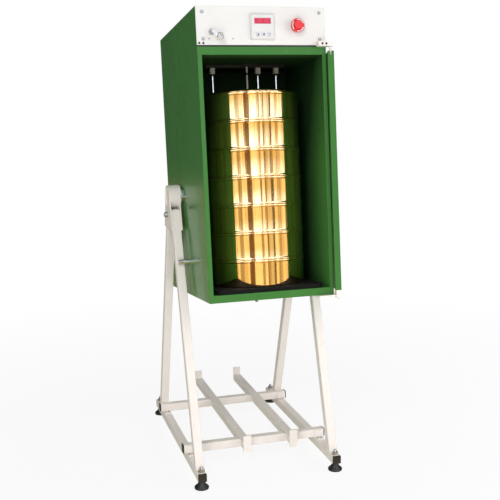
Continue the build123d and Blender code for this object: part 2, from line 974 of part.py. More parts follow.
def lid():
    rim = stack_rim
    slope_end = lid_raised_radius + lid_slope
    points = (
        (skirt_radius - wall, rim - skirt_depth),
        (skirt_radius, rim - skirt_depth),
        (skirt_radius, rim),
        (shoulder_radius, rim),
        (shoulder_radius, rim + lid_rim),
        (slope_end, rim + lid_rim),
        (lid_raised_radius, lid_top),
        (0, lid_top),
        (0, lid_top - wall),
        (lid_raised_radius - wall / 2, lid_top - wall),
        (slope_end - wall / 2, rim + lid_rim - wall),
        (skirt_radius - wall, rim + lid_rim - wall),
    )
    return stacked(revolved(points))


def base_platen():
    rear = bulkhead_y - rest_gap
    front = stack_y - platen_half
    plate = block(-platen_half, platen_half, front, rear, chamber_floor, stack_bottom)
    corners = plate.edges().filter_by(Axis.Z).group_by(Axis.Y)[0]
    plate = fillet(corners, platen_corner)
    reach = wall_radius + rest_gap + buffer_radius
    for side in (-1, 1):
        x = side * reach * sin(radians(buffer_angle))
        y = stack_y + reach * cos(radians(buffer_angle))
        plate += rod_along_z(buffer_radius, x, y, stack_bottom - 1, stack_bottom + buffer_height)
    return plate


# Hold-down rods
def rod_rail():
    half = rod_rail_width / 2
    low = ceiling_bottom - rod_rail_height
    rail_bar = block(
        -rod_rail_half, rod_rail_half, rod_y - half, rod_y + half, low, ceiling_bottom
    )
    for x in rod_xs:
        side = rod_block / 2
        base = low - rod_block_height
        rail_bar += block(x - side, x + side, rod_y - side, rod_y + side, base, low)
        rail_bar += rod_along_z(collet_radius, x, rod_y, base - collet_height, base)
    for x in rod_xs:
        bore = rod_radius + running_gap
        rail_bar -= rod_along_z(bore, x, rod_y, base - collet_height - 1, ceiling_bottom + 1)
    return Compound([rail_bar, centre_rod()])


def centre_rod():
    low = ceiling_bottom - centre_plate[2]
    half_x = centre_plate[0] / 2
    half_y = centre_plate[1] / 2
    x0 = centre_plate_x - half_x
    x1 = centre_plate_x + half_x
    plate = block(x0, x1, stack_y - half_y, stack_y + half_y, low, ceiling_bottom)
    return plate + rod_along_z(centre_rod_radius, 0, stack_y, lid_top + rest_gap, low + 1)


def hold_down_rod(x):
    top = ceiling_bottom + rod_above_ceiling
    tip = lid_top + rest_gap
    rod = rod_along_z(rod_radius, x, rod_y, tip, top)
    return chamfer(rod.edges().filter_by(GeomType.CIRCLE).sort_by(Axis.Z)[0], rod_edge)


# Motor
def motor_housing():
    half = motor_length / 2
    base_y = bulkhead_y + bulkhead_thickness
    body = rod_along_x(motor_radius, -half, half, motor_y, motor_z)
    step = motor_length / (motor_rib_count + 1)
    for index in range(motor_rib_count):
        x = -half + (index + 1) * step
        w = motor_rib_width / 2
        body += rod_along_x(motor_radius + motor_rib_height, x - w, x + w, motor_y, motor_z)
    base = motor_base_half
    front = motor_y - motor_radius / 2
    body += block(-base, base, base_y, front, motor_z - base / 2, motor_z + base / 2)
    bore = shaft_radius + running_gap
    return body - rod_along_x(bore, -half - 1, half + 1, motor_y, motor_z)


def eccentric_weight(x0):
    disc = rod_along_x(weight_radius, x0, x0 + weight_thickness, motor_y, motor_z)
    top = motor_z + shaft_radius + weight_web
    far = weight_radius + 1
    disc -= block(
        x0 - 1, x0 + weight_thickness + 1, motor_y - far, motor_y + far, top, motor_z + far
    )
    return disc - rod_along_x(shaft_radius, x0 - 1, x0 + weight_thickness + 1, motor_y, motor_z)


def motor_rotor():
    half = motor_length / 2
    reach = half + shaft_overhang
    shaft = rod_along_x(shaft_radius, -reach, reach, motor_y, motor_z)
    inner = half + weight_gap
    weights = [eccentric_weight(inner), eccentric_weight(-inner - weight_thickness)]
    return Compound([shaft, *weights])


def build_stand():
    for side, name in ((-1, "left"), (1, "right")):
        save(rail(side), f"{name}_rail")
        save(legs(side), f"{name}_legs")
        save(trunnion_bracket(side), f"{name}_trunnion_bracket")
        for y, end in zip(foot_ys(), ("front", "rear")):
            save(foot(side, y), f"{end}_{name}_foot")
    save(cross_tube(cross_front_y), "front_cross_tube")
    save(cross_tube(cross_rear_y), "rear_cross_tube")
    save(Compound([carrier_bar(x) for x in bar_centres]), "carrier_bars")
    save(Compound([bush(side) for side in (-1, 1)]), "trunnion_bushes")
    save(Compound([clamp_bolt(side) for side in (-1, 1)]), "clamp_bolts")
    save(tube_plugs(), "tube_plugs")
    save(angle_clips(), "angle_clips")
    save(Compound(clip_screws() + lock_nuts()), "stand_fasteners")


def build_cabinet():
    for side, name in ((-1, "left"), (1, "right")):
        save(in_cabinet(side_panel(side)), f"{name}_side_panel")
    shapes = {
        "floor_panel": floor_panel(),
        "ceiling_panel": ceiling_panel(),
        "top_panel": top_panel(),
        "bulkhead": bulkhead(),
        "rear_cover": rear_cover(),
        "power_inlet": power_inlet(),
        "control_panel": control_panel(),
        "cabinet_screws": cabinet_screws(),
        "trunnion_pins": Compound([trunnion_pin(side) for side in (-1, 1)]),
        "timer_case": timer_case(),
        "timer_window": timer_window(),
        "panel_fittings": Compound([estop_collar(), selector_nut()]),
        "estop_stem": estop_stem(),
        "estop_cap": estop_cap(),
        "selector_handle": selector_handle(),
        "top_hinge_bar": top_hinge_bar(),
        "bottom_hinge_bracket": bottom_hinge_bracket(),
        "base_platen": base_platen(),
        "rod_rail": rod_rail(),
        "motor_housing": motor_housing(),
        "motor_rotor": motor_rotor(),
    }
    for name, shape in shapes.items():
        save(in_cabinet(shape), name)
    for x, name in zip(key_xs(), ("left", "middle", "right")):
        save(in_cabinet(timer_key(x)), f"{name}_timer_key")
    for x, name in zip(rod_xs, ("left", "middle", "right")):
        save(in_cabinet(hold_down_rod(x)), f"{name}_hold_down_rod")
    locking = [in_cabinet(locking_pin(side)) for side in (-1, 1)]
    save(Compound([stop_pin(side) for side in (-1, 1)] + locking), "stop_pins")


def build_door():
    save(in_cabinet(opened(door_shell())), "door_shell")
    save(in_cabinet(opened(Compound([door_liner(), door_seal()]))), "door_liner")
    save(in_cabinet(opened(door_handle())), "door_handle")


def build_stack():
    save(in_cabinet(pan()), "sieve_pan")
    for index in range(1, element_count):
        save(in_cabinet(sieve(index)), f"sieve_{index}")
    cloths = [cloth(index) for index in range(1, element_count)]
    save(in_cabinet(Compound(cloths)), "sieve_cloths")
    save(in_cabinet(lid()), "sieve_lid")


def write_pieces():
    boxes = [shape.bounding_box() for shape in pieces.values()]
    middle_x = (min(box.min.X for box in boxes) + max(box.max.X for box in boxes)) / 2
    middle_y = (min(box.min.Y for box in boxes) + max(box.max.Y for box in boxes)) / 2
    print("origin is at", middle_x, middle_y, "of the drawing")
    for name, shape in pieces.items():
        export_step(Pos(-middle_x, -middle_y, 0) * shape, f"parts/{name}.step")


os.makedirs("parts", exist_ok=True)
build_stand()
build_cabinet()
build_door()
build_stack()
write_pieces()
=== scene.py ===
import math
import bmesh
import bpy
from mathutils import Matrix, Vector, noise


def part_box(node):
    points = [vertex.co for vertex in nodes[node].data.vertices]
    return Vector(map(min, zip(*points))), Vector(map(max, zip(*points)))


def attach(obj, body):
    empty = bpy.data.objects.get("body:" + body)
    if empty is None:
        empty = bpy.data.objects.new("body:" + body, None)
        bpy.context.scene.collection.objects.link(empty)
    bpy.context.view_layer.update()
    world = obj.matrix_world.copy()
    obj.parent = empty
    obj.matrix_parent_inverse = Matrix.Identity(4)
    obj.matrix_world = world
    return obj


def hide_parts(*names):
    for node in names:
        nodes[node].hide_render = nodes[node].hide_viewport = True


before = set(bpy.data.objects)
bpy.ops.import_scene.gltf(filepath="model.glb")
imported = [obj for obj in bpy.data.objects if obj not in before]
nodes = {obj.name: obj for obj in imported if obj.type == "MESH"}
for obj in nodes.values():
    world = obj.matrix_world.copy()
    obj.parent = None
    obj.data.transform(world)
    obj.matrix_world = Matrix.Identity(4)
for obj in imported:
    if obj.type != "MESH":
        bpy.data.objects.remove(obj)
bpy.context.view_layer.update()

scene = bpy.context.scene
scene.view_settings.view_transform = "Standard"

# The trunnion axis is the drawing's origin: its middle is the bushes' middle
bushLow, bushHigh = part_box("trunnion_bushes")
hub = (bushLow + bushHigh) / 2
lean = math.radians(5.8)
cabinetPlace = Matrix.Translation(hub) @ Matrix.Rotation(-lean, 4, "X")  # in metres
print("frame loaded, hub at", [round(v, 4) for v in hub])


def inCabinet(x, y, z):  # millimetres in the cabinet's frame
    return cabinetPlace @ Vector((x / 1000, y / 1000, z / 1000))


def placeInCabinet(x, y, z):
    return cabinetPlace @ Matrix.Translation((x / 1000, y / 1000, z / 1000))


# Node helpers for the materials
def addNode(tree, kind, inputs=None, **settings):
    node = tree.nodes.new("ShaderNode" + kind)
    for key, value in settings.items():
        setattr(node, key, value)
    for key, value in (inputs or {}).items():
        if isinstance(value, bpy.types.NodeSocket):
            tree.links.new(value, node.inputs[key])
        else:
            node.inputs[key].default_value = value
    return node


def placeOf(tree, scale=(1, 1, 1), turn=(0, 0, 0)):
    coords = addNode(tree, "TexCoord")
    inputs = {"Vector": coords.outputs["Object"], "Scale": scale, "Rotation": turn}
    return addNode(tree, "Mapping", inputs).outputs["Vector"]


def noiseOf(tree, scale, detail=3.0, roughness=0.55, stretch=(1, 1, 1), turn=(0, 0, 0)):
    place = placeOf(tree, stretch, turn)
    return noiseAt(tree, place, scale, detail, roughness)


def noiseAt(tree, place, scale, detail, roughness):
    inputs = {"Vector": place, "Scale": scale, "Detail": detail, "Roughness": roughness}
    return addNode(tree, "TexNoise", inputs).outputs["Fac"]


def rampOf(tree, fac, stops, interpolation="LINEAR"):
    ramp = addNode(tree, "ValToRGB", {"Fac": fac})
    ramp.color_ramp.interpolation = interpolation
    elements = ramp.color_ramp.elements
    while len(elements) < len(stops):
        elements.new(0.5)
    for element, (at, colour) in zip(elements, stops):
        element.position = at
        element.color = (*colour, 1)
    return ramp.outputs["Color"]


def rangeOf(tree, value, low, high, toLow, toHigh):
    inputs = {"Value": value, "From Min": low, "From Max": high, "To Min": toLow, "To Max": toHigh}
    return addNode(tree, "MapRange", inputs).outputs["Result"]


def mixOf(tree, fac, first, second, blend="MIX"):
    mix = addNode(tree, "Mix", data_type="RGBA", blend_type=blend)
    for key, value in (("Factor", fac), ("A", first), ("B", second)):
        socket = [s for s in mix.inputs if s.name == key and s.enabled][0]
        if isinstance(value, bpy.types.NodeSocket):
            tree.links.new(value, socket)
        elif key == "Factor":
            socket.default_value = value
        else:
            socket.default_value = (*value, 1)
    return [s for s in mix.outputs if s.enabled][0]


def mathOf(tree, operation, first, second=0.0):
    return addNode(tree, "Math", {0: first, 1: second}, operation=operation).outputs[0]


def newFinish(name, sockets):
    material = bpy.data.materials.new(name)
    material.use_nodes = True
    tree = material.node_tree
    shader = tree.nodes["Principled BSDF"]
    for key, value in sockets.items():
        shader.inputs[key].default_value = value
    return material, tree, shader


def addBump(tree, shader, height, strength, distance):
    inputs = {"Height": height, "Strength": strength, "Distance": distance}
    bump = addNode(tree, "Bump", inputs)
    if shader.inputs["Normal"].is_linked:
        tree.links.new(shader.inputs["Normal"].links[0].from_socket, bump.inputs["Normal"])
    tree.links.new(bump.outputs["Normal"], shader.inputs["Normal"])


def setLook(tree, shader, colour, roughness):
    tree.links.new(colour, shader.inputs["Base Color"])
    tree.links.new(roughness, shader.inputs["Roughness"])


def glossOf(tree, value, low, high):  # roughness that follows the middle of a noise
    return rangeOf(tree, value, 0.3, 0.7, low, high)


# Places in the cabinet's own frame, for finishes that change along it
def cabinetParts(tree):
    place = placeOf(tree, turn=(lean, 0, 0))
    return addNode(tree, "SeparateXYZ", {"Vector": place}).outputs


def cabinetMark(axis, millimetres):  # what cabinetParts gives this far along one axis of the cabinet
    index = "XYZ".index(axis)
    point = [0.0, 0.0, 0.0]
    point[index] = millimetres
    return (Matrix.Rotation(lean, 4, "X") @ inCabinet(*point))[index]


# Painted and lacquered finishes: a cloudy base colour with worn marks, uneven gloss and orange peel
paintGrain = {
    "markScale": 23.0,
    "markFrom": 0.60,
    "markTo": 0.78,
    "glossScale": 9.0,
    "peelDepth": 0.0004,
    "waveScale": 30.0,
    "waveDepth": 0.0006,
}


def cloudyTone(tree, look):
    cloud = noiseOf(tree, look["cloudScale"], 4.0)
    return mixOf(tree, cloud, look["colour"], look["colourTwo"])


def paintFinish(name, look):
    sockets = {"Metallic": 0.0, "Specular IOR Level": look["specular"]}
    material, tree, shader = newFinish(name, sockets)
    tone = cloudyTone(tree, look)
    stretch = look.get("markStretch", (1, 1, 1))
    marks = noiseOf(tree, paintGrain["markScale"], 6.0, 0.7, stretch, (-lean, 0, 0))
    worn = rangeOf(tree, marks, paintGrain["markFrom"], paintGrain["markTo"], 0.0, look["markAmount"])
    patches = noiseOf(tree, paintGrain["glossScale"], 5.0, 0.65)
    gloss = glossOf(tree, patches, look["roughLow"], look["roughHigh"])
    setLook(tree, shader, mixOf(tree, worn, tone, look["markColour"]), gloss)
    peel = noiseOf(tree, look["peelScale"], 2.0)
    addBump(tree, shader, peel, look["peelStrength"], paintGrain["peelDepth"])
    wave = noiseOf(tree, paintGrain["waveScale"], 2.0)
    addBump(tree, shader, wave, look["waveStrength"], paintGrain["waveDepth"])
    return material


greenLook = {
    "colour": (0.050, 0.180, 0.040),
    "colourTwo": (0.064, 0.204, 0.048),
    "cloudScale": 2.2,
    "markColour": (0.10, 0.27, 0.09),
    "markAmount": 0.35,
    "markStretch": (1, 1, 0.12),
    "roughLow": 0.13,
    "roughHigh": 0.22,
    "peelScale": 420.0,
    "peelStrength": 0.08,
    "waveStrength": 0.06,
    "specular": 0.12,
}
standLook = {
    "colour": (0.87, 0.815, 0.765),
    "colourTwo": (0.82, 0.755, 0.70),
    "cloudScale": 6.0,
    "markColour": (0.50, 0.42, 0.36),
    "markAmount": 0.28,
    "roughLow": 0.30,
    "roughHigh": 0.46,
    "peelScale": 700.0,
    "peelStrength": 0.22,
    "waveStrength": 0.05,
    "specular": 0.35,
}
panelLook = {
    "colour": (0.81, 0.80, 0.77),
    "colourTwo": (0.785, 0.765, 0.735),
    "cloudScale": 5.0,
    "markColour": (0.70, 0.62, 0.56),
    "markAmount": 0.18,
    "roughLow": 0.26,
    "roughHigh": 0.36,
    "peelScale": 900.0,
    "peelStrength": 0.10,
    "waveStrength": 0.03,
    "specular": 0.22,
}
timerLook = dict(
    panelLook, colour=(0.77, 0.755, 0.75), colourTwo=(0.74, 0.72, 0.715),
    peelScale=1800.0, roughLow=0.40, roughHigh=0.50,
)
keyLook = dict(
    panelLook, colour=(0.74, 0.745, 0.76), colourTwo=(0.70, 0.70, 0.72), peelScale=1500.0
)
# Painted shade: the near-black green of the chamber's inner faces
insideShadeLook = dict(
    greenLook, colour=(0.008, 0.026, 0.009), colourTwo=(0.010, 0.034, 0.011),
    roughLow=0.42, roughHigh=0.55, specular=0.2,
)
greenPaint = paintFinish("greenLacquer", greenLook)
standPaint = paintFinish("standPowderCoat", standLook)
panelPaint = paintFinish("panelEnamel", panelLook)
timerPlastic = paintFinish("timerPlastic", timerLook)
keyPlastic = paintFinish("keyPlastic", keyLook)


# Polished brass: spun rings, each element's own upright ripples, stains, and fine darker streaks
# along the ripples that are painted reflection
def brassFinish(name, look):
    material, tree, shader = newFinish(name, {"Metallic": 1.0})
    parts = cabinetParts(tree)
    above = mathOf(tree, "SUBTRACT", parts["Z"], cabinetMark("Z", look["bottom"]))
    element = mathOf(tree, "FLOOR", mathOf(tree, "DIVIDE", above, look["pitch"]))
    shift = mathOf(tree, "MULTIPLY", element, look["elementShift"])
    inputs = {"X": parts["X"], "Y": parts["Y"], "Z": shift}
    sheet = addNode(tree, "CombineXYZ", inputs).outputs[0]
    rings = noiseOf(tree, 1.0, 2.0, 0.5, look["ringStretch"], (-lean, 0, 0))
    ripple = noiseAt(tree, sheet, look["rippleScale"], 3.0, 0.6)
    broad = noiseAt(tree, sheet, look["broadScale"], 1.0, 0.6)
    stain = noiseOf(tree, look["stainScale"], 6.0, 0.7)
    tone = mixOf(tree, rangeOf(tree, stain, 0.35, 0.75, 0, 1), look["colour"], look["colourTwo"])
    # Painted reflection: darker brown streaks where the ripples are high
    share = rangeOf(tree, ripple, 0.50, 0.60, 0, look["reflectionStreak"])
    colour = mixOf(tree, share, tone, look["reflectionStreakColour"])
    stained = rangeOf(tree, stain, 0.3, 0.8, look["roughLow"], look["roughHigh"])
    turned = rangeOf(tree, rings, 0.35, 0.65, 0.0, look["ringRough"])
    setLook(tree, shader, colour, mathOf(tree, "ADD", stained, turned))
    addBump(tree, shader, rings, look["ringStrength"], look["ringDepth"])
    addBump(tree, shader, ripple, look["rippleStrength"], look["rippleDepth"])
    addBump(tree, shader, broad, look["rippleStrength"], look["broadDepth"])
    return material


brassLook = {
    "bottom": -279.0,
    "pitch": 0.0818,
    "colour": (0.88, 0.66, 0.37),
    "colourTwo": (0.82, 0.57, 0.27),
    "reflectionStreakColour": (0.58, 0.32, 0.11),
    "reflectionStreak": 0.55,
    "roughLow": 0.05,
    "roughHigh": 0.10,
    "elementShift": 0.37,
    "stainScale": 14.0,
    "ringStretch": (6, 6, 900),
    "ringRough": 0.04,
    "ringStrength": 0.20,
    "ringDepth": 0.00012,
    "rippleScale": 95.0,
    "rippleStrength": 0.60,
    "rippleDepth": 0.0004,
    "broadScale": 17.0,
    "broadDepth": 0.0012,
}
brass = brassFinish("polishedBrass", brassLook)


# Bare metal: turned or drawn lines along one direction
metalGrain = {"cloudScale": 40.0, "shade": 0.78, "depth": 0.0002}


def metalFinish(name, colour, roughLow, roughHigh, stretch, strength=0.25, metallic=1.0):
    material, tree, shader = newFinish(name, {"Metallic": metallic})
    lines = noiseOf(tree, 1.0, 3.0, 0.6, stretch, (-lean, 0, 0))
    cloud = noiseOf(tree, metalGrain["cloudScale"], 4.0, 0.6)
    darker = tuple(c * metalGrain["shade"] for c in colour)
    cloudy = rangeOf(tree, cloud, 0.4, 0.8, 0, 1)
    gloss = glossOf(tree, lines, roughLow, roughHigh)
    setLook(tree, shader, mixOf(tree, cloudy, colour, darker), gloss)
    addBump(tree, shader, lines, strength, metalGrain["depth"])
    return material


brightSteel = metalFinish("brightSteel", (0.70, 0.69, 0.67), 0.14, 0.26, (300, 300, 1500))
drawnSteel = metalFinish("drawnSteel", (0.72, 0.72, 0.71), 0.10, 0.20, (900, 900, 20))
zincSteel = metalFinish("zincSteel", (0.55, 0.54, 0.52), 0.25, 0.40, (500, 500, 500))
darkSteel = metalFinish(
    "darkScrew", (0.035, 0.033, 0.032), 0.30, 0.45, (500, 500, 500), metallic=0.4
)
chrome = metalFinish("chromeKnob", (0.78, 0.76, 0.74), 0.05, 0.12, (700, 60, 700), 0.12)
turnedSteel = metalFinish("turnedShaft", (0.45, 0.45, 0.44), 0.20, 0.34, (1400, 40, 40))
castGrey = metalFinish("castHousing", (0.16, 0.17, 0.175), 0.45, 0.60, (260, 260, 260), 0.5, 0.3)
bronze = metalFinish("bushBronze", (0.42, 0.27, 0.12), 0.25, 0.38, (900, 40, 40))


# Rubber and moulded plastic: fine grain and specks of dust
mouldGrain = {
    "dustShade": 0.7,
    "dustLift": 0.05,
    "dustScale": 60.0,
    "glossScale": 35.0,
    "glossSpan": 0.12,
    "depth": 0.0003,
}


def mouldedFinish(name, colour, rough, grain, strength, dust=0.0, sockets=None):
    material, tree, shader = newFinish(name, {"Metallic": 0.0, **(sockets or {})})
    dusty = tuple(min(1.0, c * mouldGrain["dustShade"] + mouldGrain["dustLift"]) for c in colour)
    spots = rangeOf(tree, noiseOf(tree, mouldGrain["dustScale"], 6.0, 0.7), 0.55, 0.8, 0, dust)
    uneven = noiseOf(tree, mouldGrain["glossScale"], 4.0)
    gloss = glossOf(tree, uneven, rough, rough + mouldGrain["glossSpan"])
    setLook(tree, shader, mixOf(tree, spots, colour, dusty), gloss)
    addBump(tree, shader, noiseOf(tree, grain, 2.0), strength, mouldGrain["depth"])
    return material


footRubber = mouldedFinish("footRubber", (0.013, 0.013, 0.012), 0.38, 900.0, 0.35, 0.4)
plugPlastic = mouldedFinish("plugPlastic", (0.012, 0.012, 0.012), 0.32, 1200.0, 0.25, 0.3)
stopCoat = {"Coat Weight": 0.3, "Coat Roughness": 0.1}
windowCoat = {"Coat Weight": 0.6, "Coat Roughness": 0.04}
stopRed = mouldedFinish("stopRed", (0.74, 0.012, 0.018), 0.18, 1500.0, 0.08, 0.1, stopCoat)
stemGrey = mouldedFinish("stemGrey", (0.42, 0.42, 0.43), 0.40, 1200.0, 0.2, 0.2)
printWhite = mouldedFinish("printWhite", (0.80, 0.76, 0.76), 0.35, 1500.0, 0.05)
printBlue = mouldedFinish("printBlue", (0.025, 0.035, 0.18), 0.35, 1500.0, 0.05)
printGrey = mouldedFinish("printGrey", (0.42, 0.42, 0.46), 0.35, 1500.0, 0.05)
windowRed = mouldedFinish("windowRed", (0.60, 0.015, 0.06), 0.12, 2000.0, 0.03, 0.1, windowCoat)
digitRed = mouldedFinish("digitRed", (0.78, 0.10, 0.16), 0.25, 2000.0, 0.03)
bezelPink = mouldedFinish("bezelLine", (0.46, 0.36, 0.38), 0.35, 1500.0, 0.05)


# Woven wire: two sets of wires at right angles
clothLook = {
    "scale": 160.0,
    "tones": ((0.35, (0.05, 0.03, 0.012)), (0.75, (0.70, 0.46, 0.18))),
    "roughness": 0.32,
    "strength": 0.8,
    "depth": 0.0005,
}


def clothFinish(name, look):
    material, tree, shader = newFinish(name, {"Metallic": 1.0, "Roughness": look["roughness"]})
    inputs = {"Vector": placeOf(tree, turn=(-lean, 0, 0)), "Scale": look["scale"]}
    waves = []
    for direction in ("X", "Y"):
        wave = addNode(tree, "TexWave", inputs, bands_direction=direction)
        waves.append(wave.outputs["Fac"])
    woven = mathOf(tree, "MAXIMUM", waves[0], waves[1])
    tree.links.new(rampOf(tree, woven, look["tones"]), shader.inputs["Base Color"])
    addBump(tree, shader, woven, look["strength"], look["depth"])
    return material


wireCloth = clothFinish("wovenWire", clothLook)


# The chamber's inner faces get painted shade: darker than the boards' outside, more so deeper in and
# higher up
chamber = {
    "half": 180.0,
    "floor": -291.0,
    "ceiling": 392.0,
    "bulkhead": 14.0,
    "front": -332.0,
    "edge": 0.8,
    "fadeFrom": 22.0,
    "fadeTo": 185.0,
    "highFrom": 60.0,
    "highShade": 0.7,
    "margin": 0.5,
    "bulkheadMargin": 2.0,
    "roughness": 0.7,
}


# Share of painted shade on the boards
def chamberShadeShare(tree):  # 0 on the outside and at the front edge, 1 deep on the inner faces
    parts = cabinetParts(tree)
    up, back = parts["Z"], parts["Y"]
    aside = mathOf(tree, "ABSOLUTE", mathOf(tree, "SUBTRACT", parts["X"], hub.x))
    margin, front = chamber["margin"], chamber["front"]
    share = mathOf(tree, "LESS_THAN", aside, (chamber["half"] + margin) / 1000)
    ceiling = cabinetMark("Z", chamber["ceiling"])
    borders = (
        ("GREATER_THAN", up, cabinetMark("Z", chamber["floor"] - margin)),
        ("LESS_THAN", up, cabinetMark("Z", chamber["ceiling"] + margin)),
        ("LESS_THAN", back, cabinetMark("Y", chamber["bulkhead"] + chamber["bulkheadMargin"])),
    )
    for operation, place, border in borders:
        share = mathOf(tree, "MULTIPLY", share, mathOf(tree, operation, place, border))
    start = cabinetMark("Y", front + chamber["fadeFrom"])
    end = cabinetMark("Y", front + chamber["fadeTo"])
    deep = rangeOf(tree, back, start, end, 0.0, 1.0)
    low = cabinetMark("Z", chamber["highFrom"])
    high = rangeOf(tree, up, low, ceiling, 0.0, chamber["highShade"])
    inward = mathOf(tree, "GREATER_THAN", back, cabinetMark("Y", front + chamber["edge"]))
    deep = mathOf(tree, "ADD", deep, mathOf(tree, "MULTIPLY", high, inward))
    return mathOf(tree, "MULTIPLY", share, mathOf(tree, "MINIMUM", deep, 1.0))


def paintedSockets(name, look):  # a paint whose colour and roughness are worked on further
    material = paintFinish(name, look)
    shader = material.node_tree.nodes["Principled BSDF"]
    found = [shader.inputs[key].links[0].from_socket for key in ("Base Color", "Roughness")]
    return material, material.node_tree, shader, *found


# Board lacquer with painted shade mixed in on the chamber's inner faces
def shadedBoardFinish(name, look, inside):
    material, tree, shader, colour, rough = paintedSockets(name, look)
    share = chamberShadeShare(tree)
    tone = mixOf(tree, share, colour, cloudyTone(tree, inside))
    dull = mathOf(tree, "MULTIPLY", share, chamber["roughness"])
    setLook(tree, shader, tone, mathOf(tree, "MAXIMUM", rough, dull))
    return material


# The rod rail is pale below; above its blocks and round its nuts it is black
railSplit = {"border": 383.5, "nutDrop": 0.0212, "nutHalf": 0.0035}


def splitFinish(name, look, otherLook):
    material, tree, shader, colour, rough = paintedSockets(name, look)
    place = cabinetParts(tree)["Z"]
    border = cabinetMark("Z", railSplit["border"])
    above = mathOf(tree, "GREATER_THAN", place, border)
    fromNut = mathOf(tree, "SUBTRACT", place, border - railSplit["nutDrop"])
    nut = mathOf(tree, "LESS_THAN", mathOf(tree, "ABSOLUTE", fromNut), railSplit["nutHalf"])
    share = mathOf(tree, "MAXIMUM", above, nut)
    tone = mixOf(tree, share, colour, cloudyTone(tree, otherLook))
    patches = noiseOf(tree, 12.0, 4.0)
    other = glossOf(tree, patches, otherLook["roughLow"], otherLook["roughHigh"])
    span = mathOf(tree, "MULTIPLY", mathOf(tree, "SUBTRACT", other, rough), share)
    setLook(tree, shader, tone, mathOf(tree, "ADD", rough, span))
    return material


shadedBoardPaint = shadedBoardFinish("boardLacquerPaintedShade", greenLook, insideShadeLook)
doorPaint = paintFinish("doorLacquer", dict(greenLook, specular=0.06, roughLow=0.34, roughHigh=0.44))
railLook = dict(
    insideShadeLook, colour=(0.50, 0.47, 0.42), colourTwo=(0.42, 0.39, 0.34),
    roughLow=0.25, roughHigh=0.35,
)
blackLook = dict(insideShadeLook, colour=(0.016, 0.016, 0.015), colourTwo=(0.022, 0.021, 0.020))
railFinish = splitFinish("railAndBlocks", railLook, blackLook)
# Painted shade: the platen is made near-black to stand in for the shadow under the stack
platenShadeLook = dict(
    blackLook, colour=(0.006, 0.006, 0.006), colourTwo=(0.009, 0.009, 0.008),
    markColour=(0.02, 0.02, 0.018), specular=0.12, roughLow=0.6, roughHigh=0.7,
)
platenShadeBlack = paintFinish("platenPaintedShade", platenShadeLook)


coats = (
    (shadedBoardPaint, "left_side_panel right_side_panel floor_panel ceiling_panel bulkhead"),
    (greenPaint, "top_panel rear_cover"),
    (doorPaint, "door_shell door_liner"),
    (standPaint, "left_rail right_rail left_legs right_legs carrier_bars angle_clips"),
    (standPaint, "left_trunnion_bracket right_trunnion_bracket"),
    (standPaint, "front_cross_tube rear_cross_tube top_hinge_bar bottom_hinge_bracket"),
    (panelPaint, "control_panel"),
    (timerPlastic, "timer_case"),
    (windowRed, "timer_window"),
    (keyPlastic, "left_timer_key middle_timer_key right_timer_key"),
    (stopRed, "estop_cap"),
    (stemGrey, "estop_stem panel_fittings"),
    (chrome, "selector_handle"),
    (turnedSteel, "clamp_bolts trunnion_pins motor_rotor"),
    (brightSteel, "stop_pins"),
    (zincSteel, "stand_fasteners"),
    (drawnSteel, "left_hold_down_rod middle_hold_down_rod right_hold_down_rod door_handle"),
    (platenShadeBlack, "base_platen"),
    (railFinish, "rod_rail"),
    (plugPlastic, "tube_plugs power_inlet"),
    (footRubber, "front_left_foot front_right_foot rear_left_foot rear_right_foot"),
    (castGrey, "motor_housing"),
    (bronze, "trunnion_bushes"),
    (brass, "sieve_pan sieve_1 sieve_2 sieve_3 sieve_4 sieve_5 sieve_6 sieve_lid"),
    (wireCloth, "sieve_cloths"),
)
for coating, coated in coats:
    for nodeName in coated.split():
        slots = nodes[nodeName].data.materials
        slots.clear()
        slots.append(coating)
print("finishes on", len(nodes), "CAD nodes")


def addObject(name, data):
    piece = bpy.data.objects.new(name, data)
    scene.collection.objects.link(piece)
    return piece


# Mesh helpers
def meshObject(name, shape, materials):
    mesh = bpy.data.meshes.new(name)
    shape.to_mesh(mesh)
    shape.free()
    for material in materials:
        mesh.materials.append(material)
    return addObject(name, mesh)


def finishMesh(name, shape, materials, body):
    piece = meshObject(name, shape, materials)
    for face in piece.data.polygons:
        face.use_smooth = True
    piece.data.set_sharp_from_angle(angle=math.radians(35))
    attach(piece, body)
    return piece


def turnOutward(shape):
    bmesh.ops.recalc_face_normals(shape, faces=shape.faces)


def inMetres(section):
    return [(radius / 1000, height / 1000) for radius, height in section]


def spunShape(profile, segments, place):
    shape = bmesh.new()
    points = [shape.verts.new((radius, 0, height)) for radius, height in profile]
    edges = [shape.edges.new(pair) for pair in zip(points, points[1:])]
    bmesh.ops.spin(
        shape, geom=points + edges, cent=(0, 0, 0), axis=(0, 0, 1),
        angle=math.tau, steps=segments, use_merge=True, use_duplicate=False,
    )
    bmesh.ops.remove_doubles(shape, verts=shape.verts, dist=0.00001)
    turnOutward(shape)
    shape.transform(place)
    return shape


def joinInto(target, other, materialIndex=0):
    for face in other.faces:
        face.material_index = materialIndex
    carrier = bpy.data.meshes.new("carrier")
    other.to_mesh(carrier)
    other.free()
    target.from_mesh(carrier)
    bpy.data.meshes.remove(carrier)


def roundEdges(shape, edges, offset, segments):
    bmesh.ops.bevel(
        shape, geom=edges, offset=offset, segments=segments,
        profile=0.5, affect="EDGES", material=-1, offset_type="OFFSET",
    )


def boxShape(size):
    shape = bmesh.new()
    bmesh.ops.create_cube(shape, size=1.0)
    bmesh.ops.scale(shape, vec=size, verts=shape.verts)
    return shape


def bevelledBox(size, bevel, place, segments=2):
    shape = boxShape(size)
    roundEdges(shape, shape.edges[:], bevel, segments)
    shape.transform(place)
    return shape


def extrudeFace(shape, faces, rise):  # gives the moved face
    grown = bmesh.ops.extrude_face_region(shape, geom=faces)
    moved = [e for e in grown["geom"] if isinstance(e, bmesh.types.BMFace)][0]
    bmesh.ops.translate(shape, verts=moved.verts, vec=(0, 0, rise))
    return moved


def topFace(shape):
    return max(shape.faces, key=lambda f: f.calc_center_median().z)


